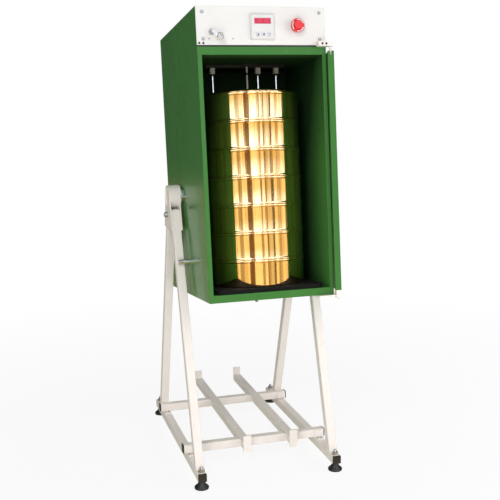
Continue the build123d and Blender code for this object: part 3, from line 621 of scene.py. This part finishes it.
# A domed screw with a hexagon socket, along local +Z of its place
def screwShape(size, place):
    radius, height, socket, washer = (length / 1000 for length in size)
    shape = bmesh.new()
    bmesh.ops.create_circle(shape, cap_ends=True, radius=radius, segments=36)
    head = extrudeFace(shape, shape.faces[:], height)
    roundEdges(shape, head.edges[:], height * screws["dome"], 4)
    top = topFace(shape)
    bmesh.ops.inset_region(shape, faces=[top], thickness=radius * screws["inset"])
    for vert in top.verts:  # the rim of the socket becomes a hexagon
        angle = math.atan2(vert.co.y, vert.co.x)
        flat = math.cos((angle % (math.pi / 3)) - math.pi / 6)
        reach = socket * math.cos(math.pi / 6) / flat
        vert.co.x, vert.co.y = math.cos(angle) * reach, math.sin(angle) * reach
    extrudeFace(shape, [top], -height * screws["socketDepth"])
    if top.is_valid:
        shape.faces.remove(top)
    if washer:
        section = [(radius * share, height * rise) for share, rise in screws["washerInside"]]
        rim = [(washer * share, height * rise) for share, rise in screws["washerRim"]]
        profile = [section[0], *rim, section[1]]
        joinInto(shape, spunShape(profile, 36, Matrix.Identity(4)))
    turnOutward(shape)
    shape.transform(place)
    return shape


outOfPanel = Matrix.Rotation(math.pi / 2, 4, "X")  # local +Z turns to -Y


def onPanel(x, y, z, turn=0.0):
    return placeInCabinet(x, y, z) @ outOfPanel @ Matrix.Rotation(turn, 4, "Z")


# Each screw's size: radius, height, socket and washer; small ones are listed as x, y and z
screws = {
    "panelFront": -332.0,
    "cornerX": 174.0,
    "cornerZ": (436.0, 510.0),
    "corner": (4.2, 3.0, 1.9, 5.2),
    "smallPlaces": (
        (-186.0, -332.0, 424.0),
        (-174.0, -332.0, 424.0),
        (174.0, -353.0, 420.5),
        (186.0, -353.0, 420.5),
    ),
    "small": (3.1, 1.8, 1.4, 0.0),
    "dots": ((-157.0, 436.0), (-87.0, 436.0)),
    "dot": (2.1, 1.4, 0.9, 0.0),
    "coverRear": 213.5,
    "coverX": (-169.0, 0.0, 169.0),
    "coverZ": (-302.0, 403.0),
    "cover": (4.2, 2.2, 1.8, 0.0),
    "sideX": 192.5,
    "sideY": 55.0,
    "side": (5.5, 4.5, 2.6, 8.0),
    "firstTurn": 0.3,
    "cornerTurn": 0.7,
    "smallTurn": 0.5,
    "dome": 0.45,
    "inset": 0.12,
    "socketDepth": 0.6,
    "washerInside": ((0.9, 0.0), (0.9, 0.30)),
    "washerRim": ((1.0, 0.0), (1.0, 0.18), (0.93, 0.30)),
}


def panelScrews():
    shape = bmesh.new()
    turn, front = screws["firstTurn"], screws["panelFront"]
    for x in (-screws["cornerX"], screws["cornerX"]):
        for z in screws["cornerZ"]:
            joinInto(shape, screwShape(screws["corner"], onPanel(x, front, z, turn)))
            turn += screws["cornerTurn"]
    for x, y, z in screws["smallPlaces"]:
        joinInto(shape, screwShape(screws["small"], onPanel(x, y, z, turn)), 1)
        turn += screws["smallTurn"]
    for x, z in screws["dots"]:
        joinInto(shape, screwShape(screws["dot"], onPanel(x, front, z, turn)))
    backwards = Matrix.Rotation(-math.pi / 2, 4, "X")
    for x in screws["coverX"]:
        for z in screws["coverZ"]:
            place = placeInCabinet(x, screws["coverRear"], z) @ backwards
            joinInto(shape, screwShape(screws["cover"], place))
    for side in (-1, 1):
        sideways = Matrix.Rotation(side * math.pi / 2, 4, "Y")
        place = placeInCabinet(side * screws["sideX"], screws["sideY"], 0) @ sideways
        joinInto(shape, screwShape(screws["side"], place))
    piece = finishMesh("panelScrews", shape, [turnedSteel, darkSteel], "cabinet")
    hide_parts("cabinet_screws")



panelScrews()
print("screws made")

# The stack: a pan, six sieves that nest by their skirts, and a lid, each spun from its section;
# the forms are steps out from a radius and up from a height
stack = {
    "y": -157.0,
    "bottom": -279.0,
    "pitch": 81.8,
    "sieves": 6,
    "wall": 152.5,
    "thickness": 1.2,
    "shoulder": 154.8,
    "skirt": 150.3,
    "skirtDepth": 10.0,
    "ledge": 1.5,
    "segments": 168,
    "beadFoot": ((0.0, -9.4), (0.15, -8.7)),
    "beadMiddle": 153.3,
    "beadDrop": 4.3,
    "beadReach": 2.3,
    "beadRise": 4.0,
    "beadAngles": range(-84, 77, 20),
    "beadTop": ((0.9, -0.05), (-0.1, 0.0), (-1.0, -0.05), (-1.2, -0.4)),
    "shoulderForm": ((-0.5, 0.0), (-0.1, 0.3), (0.0, 0.9), (0.0, 2.2), (-0.25, 3.1), (-0.9, 4.0)),
    "neckForm": ((0.5, 5.2), (0.1, 6.4), (0.0, 7.6)),
    "panOutside": ((-3.4, 0.0), (-1.8, 0.3), (-0.6, 1.2), (0.0, 3.0)),
    "panInside": ((-1.2, 4.0), (-2.4, 2.0), (-4.6, 1.2)),
    "lidRaised": 124.0,
    "lidRise": 9.5,
    "lidRim": ((-0.4, 0.0), (0.0, 0.5), (-0.2, 1.2), (-1.0, 1.5)),
    "lidSlope": ((6.0, 1.5), (3.2, 3.2)),
    "lidCrown": ((1.2, -1.6), (-1.0, 0.0)),
    "lidHollow": -1.6,
    "lidBend": 5.0,
    "lidUnder": 0.3,
}


def stepped(form, radius, height):
    return [(radius + out, height + up) for out, up in form]


def beadSection(rim):  # the rolled band just below a rim, then over it to the inner face
    points = stepped(stack["beadFoot"], stack["wall"], rim)
    for degrees in stack["beadAngles"]:
        angle = math.radians(degrees)
        radius = stack["beadMiddle"] + stack["beadReach"] * math.cos(angle)
        points.append((radius, rim - stack["beadDrop"] + stack["beadRise"] * math.sin(angle)))
    return points + stepped(stack["beadTop"], stack["wall"], rim)


def seatSection(seat):  # the skirt that nests in the element below, and the shoulder on its rim
    skirt = stack["skirt"]
    low = seat - stack["skirtDepth"]
    points = [(skirt - stack["thickness"], low), (skirt, low), (skirt, seat)]
    points += stepped(stack["shoulderForm"], stack["shoulder"], seat)
    return points + stepped(stack["neckForm"], stack["wall"], seat)


def spunElement(name, section, closed=True):
    points = inMetres(section)
    if closed:
        points.append(points[0])
    place = placeInCabinet(0, stack["y"], 0)
    shape = spunShape(points, stack["segments"], place)
    piece = finishMesh(name + "_spun", shape, [brass], "cabinet")
    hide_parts(name)


def lidSection(rim):
    thin, skirt, raised = stack["thickness"], stack["skirt"], stack["lidRaised"]
    low, top, under = rim - stack["skirtDepth"], rim + stack["lidRise"], rim + stack["lidUnder"]
    points = [(skirt - thin, low), (skirt, low), (skirt, rim)]
    points += stepped(stack["lidRim"], stack["shoulder"], rim)
    points += stepped(stack["lidSlope"], raised, rim) + stepped(stack["lidCrown"], raised, top)
    points += [(0, top), (0, top - thin), (raised + stack["lidHollow"], top - thin)]
    return points + [(raised + stack["lidBend"], under), (skirt - thin, under)]


def sieveStack():
    low, thin, wall = stack["bottom"], stack["thickness"], stack["wall"]
    pitch, ledge = stack["pitch"], stack["ledge"]
    pan = [(0, low)] + stepped(stack["panOutside"], wall, low) + beadSection(low + pitch)
    pan += stepped(stack["panInside"], wall, low) + [(0, low + thin)]
    spunElement("sieve_pan", pan, False)
    for index in range(1, stack["sieves"] + 1):
        seat = low + index * pitch
        section = seatSection(seat) + beadSection(seat + pitch)
        section += [(wall - thin, seat + ledge), (stack["skirt"] - thin, seat + ledge)]
        spunElement(f"sieve_{index}", section)
    spunElement("sieve_lid", lidSection(low + (stack["sieves"] + 1) * pitch))



sieveStack()
print("stack made")

timer = {
    "z": 469.0,
    "faceY": -340.0,
    "lineReach": 33.0,
    "lineWidth": 0.7,
    "lineThick": 0.5,
    "windowZ": 484.7,
    "frameX": 24.6,
    "frameZ": 8.0,
    "frameWidth": 1.0,
    "frameThick": 0.8,
    "frameTall": 17.0,
    "frameWide": 50.0,
    "figures": "0210",
    "digitHeight": 7.0,
    "digitWidth": 4.0,
    "digitPitch": 7.4,
    "digitRise": 0.4,
    "digitThick": 0.3,
    "stroke": 0.8,
    "keyXs": {"left": -15.0, "middle": 2.0, "right": 19.0},
    "keyZ": 447.2,
    "keyY": -342.5,
    "markThick": 0.4,
    "arrowRise": 0.0002,
}
segmentsLit = {"0": "abcdef", "1": "bc", "2": "abged"}


def barOnPanel(shape, x, y, z, width, height, thick):
    size = (width / 1000, height / 1000, thick / 1000)
    joinInto(shape, bevelledBox(size, thick / 4000, onPanel(x, y, z), 1))


def timerFront():
    shape = bmesh.new()
    y, z, reach = timer["faceY"], timer["z"], timer["lineReach"]
    width, thick = timer["lineWidth"], timer["lineThick"]
    for side in (-1, 1):  # the fine moulded line inside the bezel
        barOnPanel(shape, side * reach, y, z, width, 2 * reach, thick)
        barOnPanel(shape, 0, y, z + side * reach, 2 * reach, width, thick)
    z, width, thick = timer["windowZ"], timer["frameWidth"], timer["frameThick"]
    for side in (-1, 1):  # the window's frame
        barOnPanel(shape, side * timer["frameX"], y, z, width, timer["frameTall"], thick)
        barOnPanel(shape, 0, y, z + side * timer["frameZ"], timer["frameWide"], width, thick)
    finishMesh("timerLines", shape, [bezelPink], "cabinet")
    digits = bmesh.new()
    w, h, t = timer["digitWidth"], timer["digitHeight"], timer["stroke"]
    strokes = {
        "a": (0, h / 2, w, t),
        "g": (0, 0, w, t),
        "d": (0, -h / 2, w, t),
        "f": (-w / 2, h / 4, t, h / 2),
        "b": (w / 2, h / 4, t, h / 2),
        "e": (-w / 2, -h / 4, t, h / 2),
        "c": (w / 2, -h / 4, t, h / 2),
    }
    y += timer["digitRise"]
    for index, figure in enumerate(timer["figures"]):
        middle = (index - (len(timer["figures"]) - 1) / 2) * timer["digitPitch"]
        for key in segmentsLit[figure]:
            dx, dz, width, height = strokes[key]
            barOnPanel(digits, middle + dx, y, z + dz, width, height, timer["digitThick"])
    finishMesh("timerDigits", digits, [digitRed], "cabinet")


# Marks on the keys: arrows by height, size and whether they point up, bars by place and size
keyForms = {
    "left": {
        "print": printBlue,
        "arrows": ((1.5, 2.6, True),),
        "bars": ((0, -1.8, 2.4, 3.6), (0, -3.9, 4.6, 1.3)),
    },
    "middle": {
        "print": printBlue,
        "arrows": ((2.1, 2.7, True), (-2.1, 2.7, False)),
        "bars": ((0, 0, 6.0, 1.5),),
    },
    "right": {
        "print": printGrey,
        "arrows": (),
        "bars": tuple((dx, dz, 2.8, 2.8) for dx in (-2.1, 2.1) for dz in (-2.1, 2.1)),
    },
}


def arrowMark(shape, x, z, size, up):
    part = bmesh.new()
    bmesh.ops.create_circle(part, cap_ends=True, radius=size / 1000, segments=3)
    extrudeFace(part, part.faces[:], timer["arrowRise"])
    turnOutward(part)
    part.transform(onPanel(x, timer["keyY"], z, math.pi / 2 if up else -math.pi / 2))
    joinInto(shape, part)


def keyMarks():
    y, thick = timer["keyY"], timer["markThick"]
    for side, form in keyForms.items():
        shape = bmesh.new()
        x, z = timer["keyXs"][side], timer["keyZ"]
        for dz, size, up in form["arrows"]:
            arrowMark(shape, x, z + dz, size, up)
        for dx, dz, width, height in form["bars"]:
            barOnPanel(shape, x + dx, y, z + dz, width, height, thick)
        finishMesh(side + "KeyMark", shape, [form["print"]], side + "_key")


# Painted shade: a black strip under the control panel stands in for the shadow in the gap there
shadowStrip = {"y": -331.6, "z": 416.4, "width": 384.4, "height": 4.0, "thick": 1.4}


def panelShadowStrip():  # the black strip in the gap under the control panel
    shape = bmesh.new()
    width, height, thick = shadowStrip["width"], shadowStrip["height"], shadowStrip["thick"]
    barOnPanel(shape, 0, shadowStrip["y"], shadowStrip["z"], width, height, thick)
    finishMesh("panelShadowStrip", shape, [plugPlastic], "cabinet")



timerFront()
keyMarks()
panelShadowStrip()
print("timer made")

# Three turning arrows on the emergency stop's flank, each an arc that narrows to its tip
stopButton = {
    "x": 101.0,
    "z": 471.0,
    "frontY": -348.0,
    "printLow": 6.8,
    "printHigh": 7.45,
    "ringRadius": 16.4,
    "ringWidth": 3.0,
    "rimLimit": 18.4,
    "arcs": (20.0, 140.0, 260.0),
    "arcSpan": 84.0,
    "steps": 20,
    "headSpan": 16.0,
    "headWidth": 5.0,
    "tipWidth": 0.05,
}


def stopArrows():
    shape = bmesh.new()
    low, high = stopButton["printLow"], stopButton["printHigh"]
    steps, span, middle = stopButton["steps"], stopButton["arcSpan"], stopButton["ringRadius"]
    tip = 1 - stopButton["headSpan"] / span
    for start in stopButton["arcs"]:
        rows = []
        for step in range(steps + 1):
            part = step / steps
            angle = math.radians(start + span * part)
            width = stopButton["ringWidth"]
            if part >= tip:
                width = stopButton["headWidth"] * (1 - part) / (1 - tip) + stopButton["tipWidth"]
            inner = middle - width / 2
            outer = min(middle + width / 2, stopButton["rimLimit"])
            corners = inMetres([(inner, low), (outer, low), (outer, high), (inner, high)])
            across, along = math.cos(angle), math.sin(angle)
            rows.append([shape.verts.new((r * across, r * along, z)) for r, z in corners])
        for first, second in zip(rows, rows[1:]):
            for k in range(4):
                after = (k + 1) % 4
                shape.faces.new((first[k], first[after], second[after], second[k]))
        shape.faces.new(rows[0])
        shape.faces.new(rows[-1])
    turnOutward(shape)
    shape.transform(onPanel(stopButton["x"], stopButton["frontY"], stopButton["z"]))
    finishMesh("stopArrows", shape, [printWhite], "estop_cap")



stopArrows()
print("stop button made")

# Rubber levelling feet: ribbed pad, moulded neck and a threaded stud
feet = {
    "places": {
        "front_left": (-220.0, -308.0),
        "front_right": (220.0, -308.0),
        "rear_left": (-220.0, 378.0),
        "rear_right": (220.0, 378.0),
    },
    "pad": (
        (0.0, 0.0), (20.6, 0.0), (21.8, 0.6), (22.4, 2.0), (22.5, 5.8),
        (21.9, 7.2), (20.4, 8.6), (16.4, 11.8), (13.2, 15.2), (11.9, 17.8),
        (10.6, 19.4), (9.5, 21.2), (9.0, 24.2), (8.6, 25.6), (5.2, 25.6),
    ),
    "padSegments": 96,
    "ribs": 24,
    "ribDepth": 0.035,
    "ribFrom": 0.0165,
    "ribTo": 0.0222,
    "ribLow": 0.0015,
    "studFoot": (4.4, 25.0),
    "studLow": 26.0,
    "studTop": 70.0,
    "studEnd": ((4.3, -0.9), (3.4, 0.0)),
    "studSegments": 24,
    "studRadius": 4.95,
    "plainEnd": 2.2,
    "threadDepth": 0.55,
    "threadPitch": 1.5,
}


def studSection():
    radius, top, pitch = feet["studRadius"], feet["studTop"], feet["threadPitch"]
    section = [feet["studFoot"]]
    height = feet["studLow"]
    while height < top - feet["plainEnd"]:
        section += [(radius - feet["threadDepth"], height), (radius, height + pitch / 2)]
        height += pitch
    return section + stepped(feet["studEnd"], 0.0, top) + [(0.0, top)]


def levellingFoot(name, x, y):
    place = Matrix.Translation((hub.x + x / 1000, hub.y + y / 1000, 0))
    shape = spunShape(inMetres(feet["pad"]), feet["padSegments"], Matrix.Identity(4))
    for vert in shape.verts:  # moulded ribs round the pad's shoulder
        reach = math.hypot(vert.co.x, vert.co.y)
        if feet["ribFrom"] < reach < feet["ribTo"] and vert.co.z > feet["ribLow"]:
            angle = math.atan2(vert.co.y, vert.co.x)
            shrink = 1 - feet["ribDepth"] * (0.5 - 0.5 * math.cos(feet["ribs"] * angle))
            vert.co.x *= shrink
            vert.co.y *= shrink
    shape.transform(place)
    joinInto(shape, spunShape(inMetres(studSection()), feet["studSegments"], place), 1)
    materials = [footRubber, zincSteel]
    piece = finishMesh(name + "_levellingFoot", shape, materials, name + "_foot")
    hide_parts(name + "_foot")



for footName, (footX, footY) in feet["places"].items():
    levellingFoot(footName, footX, footY)
print("feet made")

# Plastic plugs in the tube ends get a moulded recess
plugs = {
    "railX": 220.0,
    "beyond": 0.0032,
    "size": (0.021, 0.021, 0.0010),
    "upright": 0.0005,
    "corner": 0.003,
    "rim": 0.0012,
    "edge": 0.0006,
    "sink": -0.0006,
}


def plugPad(place):
    part = boxShape(plugs["size"])
    upright = []
    for edge in part.edges:
        if abs(edge.verts[0].co.z - edge.verts[1].co.z) > plugs["upright"]:
            upright.append(edge)
    roundEdges(part, upright, plugs["corner"], 4)
    top = topFace(part)
    bmesh.ops.inset_region(part, faces=[top], thickness=plugs["rim"])
    bmesh.ops.inset_region(part, faces=[top], thickness=plugs["edge"], depth=plugs["sink"])
    part.transform(place)
    return part


def plugFaces():
    shape = bmesh.new()
    for tube in (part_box("front_cross_tube"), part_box("rear_cross_tube")):
        middle = (tube[0] + tube[1]) / 2
        for x, side in ((tube[0].x, -1), (tube[1].x, 1)):
            outward = Matrix.Rotation(side * math.pi / 2, 4, "Y")
            spot = (x + side * plugs["beyond"], middle.y, middle.z)
            joinInto(shape, plugPad(Matrix.Translation(spot) @ outward))
    low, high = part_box("tube_plugs")
    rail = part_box("left_rail")
    height = (rail[0].z + rail[1].z) / 2
    for side in (-1, 1):
        x = hub.x + side * plugs["railX"] / 1000
        for y, turn in ((low.y, math.pi / 2), (high.y, -math.pi / 2)):
            outward = Matrix.Rotation(turn, 4, "X")
            joinInto(shape, plugPad(Matrix.Translation((x, y, height)) @ outward))
    finishMesh("plugFaces", shape, [plugPlastic], "stand")


plugFaces()



# Weld beads where the legs stand on the rails: overlapping flattened drops
welds = {
    "railX": 0.220,
    "top": 0.053,
    "legs": (-280.0, 304.0),
    "sideX": 0.0135,
    "sideReach": 0.014,
    "endY": 0.0146,
    "endReach": 0.011,
    "width": 0.0042,
    "spacing": 0.55,
    "size": 0.5,
    "jitter": 0.07,
    "jitterScale": 190.0,
    "length": 0.9,
    "height": 0.62,
}


def weldLine(shape, start, end):
    up, width = Vector((0, 0, 1)), welds["width"]
    count = max(3, int((end - start).length / (width * welds["spacing"])))
    along = (end - start).normalized()
    side = along.cross(up).normalized()
    turn = Matrix((side, along, up)).transposed().to_4x4()
    for index in range(count + 1):
        point = start.lerp(end, index / count)
        jitter = noise.noise(point * welds["jitterScale"])
        size = width * (welds["size"] + welds["jitter"] * jitter)
        drop = Matrix.Diagonal((size, size * welds["length"], size * welds["height"], 1))
        place = Matrix.Translation(point) @ turn @ drop
        bmesh.ops.create_icosphere(shape, subdivisions=1, radius=1.0, matrix=place)


def standWelds():
    shape = bmesh.new()
    top, long, short = welds["top"], welds["sideReach"], welds["endReach"]
    for x in (hub.x - welds["railX"], hub.x + welds["railX"]):
        for leg in welds["legs"]:
            y = hub.y + leg / 1000
            for spot in (x - welds["sideX"], x + welds["sideX"]):
                weldLine(shape, Vector((spot, y - long, top)), Vector((spot, y + long, top)))
            for spot in (y - welds["endY"], y + welds["endY"]):
                weldLine(shape, Vector((x - short, spot, top)), Vector((x + short, spot, top)))
    finishMesh("standWelds", shape, [standPaint], "stand")



standWelds()
print("stand details made")

# Pressed louvre hoods over the rear cover's slots: quarters of a flattened ball
louvres = {
    "x": (-70.0, 70.0),
    "lowZ": 57.5,
    "pitch": 16.0,
    "rows": 6,
    "rear": 213.5,
    "halfSize": (0.057, 0.005, 0.010),
    "skin": -0.0009,
}


def louvreHoods():
    shape = bmesh.new()
    for row in range(louvres["rows"]):
        for x in louvres["x"]:
            part = bmesh.new()
            bmesh.ops.create_uvsphere(part, u_segments=28, v_segments=14, radius=1.0)
            bmesh.ops.scale(part, vec=louvres["halfSize"], verts=part.verts)
            for side in ((0, -1, 0), (0, 0, -1)):
                geom = part.verts[:] + part.edges[:] + part.faces[:]
                bmesh.ops.bisect_plane(
                    part, geom=geom, plane_co=(0, 0, 0), plane_no=side, clear_outer=True
                )
            bmesh.ops.solidify(part, geom=part.faces[:], thickness=louvres["skin"])
            turnOutward(part)
            z = louvres["lowZ"] + row * louvres["pitch"]
            part.transform(placeInCabinet(x, louvres["rear"], z))
            joinInto(shape, part)
    finishMesh("louvreHoods", shape, [greenPaint], "cabinet")



louvreHoods()

# The platen's centre bolt ends below the cabinet's floor, in a nut and washer
floorStud = {
    "y": -157.0,
    "top": -312.98,
    "low": -341.0,
    "radius": 5.0,
    "washer": 11.0,
    "washerThick": 1.6,
    "threadFrom": 3.0,
    "threadDepth": 0.5,
    "threadPitch": 1.5,
    "plainEnd": 2.0,
    "endRadius": 3.8,
    "nutRadius": 9.2,
    "nutHeight": 8.0,
    "nutDrop": 1.7,
    "nutBevel": 0.0006,
}


def platenBolt():
    top, low, radius = floorStud["top"], floorStud["low"], floorStud["radius"]
    washer, thick = floorStud["washer"], floorStud["washerThick"]
    root, pitch = radius - floorStud["threadDepth"], floorStud["threadPitch"]
    height = top - floorStud["threadFrom"]
    profile = [(0, top), (washer, top), (washer, top - thick), (radius, top - thick)]
    profile.append((root, height))
    while height > low + floorStud["plainEnd"]:
        profile += [(radius, height - pitch / 2), (root, height - pitch)]
        height -= pitch
    profile += [(floorStud["endRadius"], low), (0, low)]
    place = placeInCabinet(0, floorStud["y"], 0)
    shape = spunShape(inMetres(profile), 36, place)
    nut = bmesh.new()
    size, tall = floorStud["nutRadius"] / 1000, floorStud["nutHeight"]
    bmesh.ops.create_cone(
        nut, cap_ends=True, segments=6, radius1=size, radius2=size, depth=tall / 1000
    )
    roundEdges(nut, nut.edges[:], floorStud["nutBevel"], 2)
    middle = top - floorStud["nutDrop"] - tall / 2
    nut.transform(placeInCabinet(0, floorStud["y"], middle))
    joinInto(shape, nut)
    finishMesh("platenBolt", shape, [zincSteel], "cabinet")



platenBolt()

inlet = {
    "x": 110.0,
    "z": -230.0,
    "floorY": 197.0,
    "pins": ((0.0, 3.0), (-7.0, -2.0), (7.0, -2.0)),
    "size": (2.0, 10.0, 4.5),
    "bevel": 0.0004,
}


def inletPins():
    shape = bmesh.new()
    size = tuple(length / 1000 for length in inlet["size"])
    y = inlet["floorY"] + inlet["size"][1] / 2
    for dx, dz in inlet["pins"]:
        place = placeInCabinet(inlet["x"] + dx, y, inlet["z"] + dz)
        joinInto(shape, bevelledBox(size, inlet["bevel"], place))
    finishMesh("inletPins", shape, [brightSteel], "cabinet")



inletPins()
print("back details made")

# Camera, from about sixty points of the photograph
view = {
    "offset": (-0.749937, -2.710125, 0.284882),
    "pitch": -0.206868,
    "yaw": -0.277045,
    "roll": -0.016862,
    "focal": 856.617,
    "centre": (246.184, 284.305),
    "pixels": 500,
    "sensor": 36.0,
    "reach": 60.0,
}


def placeCamera():
    data = bpy.data.cameras.new("camera")
    camera = addObject("camera", data)
    scene.camera = camera
    pixels = view["pixels"]
    data.sensor_width = view["sensor"]
    data.lens = view["focal"] / pixels * view["sensor"]
    data.shift_x = (pixels / 2 - view["centre"][0]) / pixels
    data.shift_y = (view["centre"][1] - pixels / 2) / pixels
    data.clip_end = view["reach"]
    yaw = Matrix.Rotation(-view["yaw"], 3, "Z")
    pitch = Matrix.Rotation(-view["pitch"], 3, "X")
    roll = Matrix.Rotation(view["roll"], 3, "Y")
    right, forward, up = roll @ pitch @ yaw
    turn = Matrix((right, up, -forward)).transposed()
    camera.matrix_world = Matrix.Translation(hub + Vector(view["offset"])) @ turn.to_4x4()



placeCamera()

# Glossy rays see light bands by angle round the front, and a dark rear; a lamp has its name,
# place, width, height, power and the height it aims at
studio = {
    "ambient": 0.30,
    "floorSize": 9.0,
    "floorShade": 0.90,
    "floorRough": 0.7,
    "floorShow": 0.88,
    "fadeFrom": 0.7,
    "fadeTo": 2.4,
    "tintTo": 0.2,
    "rearSoft": 0.004,
    "sideSoft": 0.05,
    "rearLow": (0.42, 0.40, 0.22),
    "rearHigh": (0.05, 0.06, 0.05),
    "rearEdge": -0.089,
    "gain": 4.0,
    "lowTint": (0.60, 0.46, 0.24),
    "highTint": (1.05, 1.15, 1.40),
    "bands": (
        (-180, 0.12, 0.12, 0.12), (-95, 0.05, 0.07, 0.03), (-68.5, 0.27, 0.25, 0.21),
        (-61.5, 0.62, 0.62, 0.62), (-57.0, 0.24, 0.21, 0.15), (-55.0, 0.62, 0.62, 0.62),
        (-50.0, 0.26, 0.24, 0.19), (-40.5, 0.66, 0.66, 0.66), (-35.0, 0.34, 0.31, 0.26),
        (-33.0, 0.66, 0.66, 0.66), (-28.5, 0.105, 0.072, 0.045), (-15.5, 0.64, 0.64, 0.64),
        (1.5, 0.12, 0.10, 0.07), (7.0, 0.60, 0.60, 0.60), (14.0, 0.12, 0.10, 0.07),
        (18.0, 0.42, 0.41, 0.38), (28.5, 0.06, 0.05, 0.04), (35.0, 0.62, 0.62, 0.62),
        (42.5, 0.22, 0.20, 0.15), (46.0, 0.36, 0.34, 0.30), (52.5, 0.60, 0.60, 0.60),
        (65.0, 0.06, 0.08, 0.03), (95.0, 0.12, 0.12, 0.12),
    ),
    "lamps": (
        ("keyLamp", (-1.7, -3.6, 2.5), 1.3, 2.2, 60.0, 0.8),
        ("fillLamp", (2.3, -3.2, 2.0), 1.2, 2.0, 34.0, 0.8),
        ("lowLamp", (-0.8, -2.3, 0.4), 1.6, 0.6, 12.0, 0.2),
        ("sideLamp", (-3.6, 0.2, 1.9), 1.4, 2.0, 8.0, 0.8),
        ("baseLamp", (1.9, -0.9, 1.0), 1.0, 1.0, 12.0, 0.1),
        ("backLamp", (1.4, 3.4, 2.6), 1.6, 1.6, 24.0, 0.8),
    ),
}


def studioWorld():
    world = bpy.data.worlds.new("studio")
    scene.world = world
    world.use_nodes = True
    tree = world.node_tree
    back = tree.nodes["Background"]
    path = addNode(tree, "LightPath")
    coords = addNode(tree, "TexCoord")
    parts = addNode(tree, "SeparateXYZ", {"Vector": coords.outputs["Generated"]})
    turned = mathOf(tree, "MULTIPLY", parts.outputs["Y"], -1.0)
    azimuth = mathOf(tree, "ARCTAN2", parts.outputs["X"], turned)
    around = rangeOf(tree, azimuth, -math.pi, math.pi, 0.0, 1.0)
    stops = [((angle + 180) / 360, colour) for angle, *colour in studio["bands"]]
    bands = rampOf(tree, around, stops, "CONSTANT")
    gain, height = studio["gain"], parts.outputs["Z"]
    lowTint = tuple(gain * value for value in studio["lowTint"])
    highTint = tuple(gain * value for value in studio["highTint"])
    raised = rangeOf(tree, height, 0.0, studio["tintTo"], 0.0, 1.0)
    front = mixOf(tree, 1.0, bands, mixOf(tree, raised, lowTint, highTint), "MULTIPLY")
    edge, soft = studio["rearEdge"], studio["rearSoft"]
    raised = rangeOf(tree, height, edge - soft, edge + soft, 0.0, 1.0)
    rear = mixOf(tree, raised, studio["rearLow"], studio["rearHigh"])
    soft = studio["sideSoft"]
    behind = rangeOf(tree, parts.outputs["Y"], -soft, soft, 0.0, 1.0)
    ambient = (studio["ambient"],) * 3
    glossy = path.outputs["Is Glossy Ray"]
    seen = mixOf(tree, glossy, ambient, mixOf(tree, behind, front, rear))
    camera, through = path.outputs["Is Camera Ray"], path.outputs["Is Transmission Ray"]
    plain = mathOf(tree, "MAXIMUM", camera, through)
    tree.links.new(mixOf(tree, plain, seen, (1.0, 1.0, 1.0)), back.inputs["Color"])
    back.inputs["Strength"].default_value = 1.0


def studioFloor():
    shape = bmesh.new()
    bmesh.ops.create_grid(shape, x_segments=2, y_segments=2, size=studio["floorSize"])
    shade = studio["floorShade"]
    sockets = {"Base Color": (shade, shade, shade, 1), "Roughness": studio["floorRough"]}
    material, tree, shader = newFinish("paleFloor", sockets)
    glow = addNode(tree, "Emission", {"Color": (1, 1, 1, 1), "Strength": 1.0})
    path = addNode(tree, "LightPath")
    length = addNode(tree, "VectorMath", {0: placeOf(tree)}, operation="LENGTH")
    distance, show = length.outputs["Value"], studio["floorShow"]
    share = rangeOf(tree, distance, studio["fadeFrom"], studio["fadeTo"], show, 1.0)
    share = mathOf(tree, "MULTIPLY", path.outputs["Is Camera Ray"], share)
    inputs = {0: share, 1: shader.outputs[0], 2: glow.outputs[0]}
    mix = addNode(tree, "MixShader", inputs)
    tree.links.new(mix.outputs[0], tree.nodes["Material Output"].inputs["Surface"])
    floor = meshObject("studioFloor", shape, [material])
    floor.visible_glossy = False


def studioLamps():
    for name, spot, width, height, power, aimHeight in studio["lamps"]:
        data = bpy.data.lights.new(name, "AREA")
        data.shape = "RECTANGLE"
        data.size, data.size_y = width, height
        data.energy = power
        lamp = addObject(name, data)
        lamp.location = spot
        aim = Vector((0, 0, aimHeight)) - Vector(spot)
        lamp.rotation_euler = aim.to_track_quat("-Z", "Y").to_euler()
        lamp.visible_glossy = False
        lamp.visible_camera = False


studioWorld()
studioFloor()
studioLamps()
print("camera and studio made")
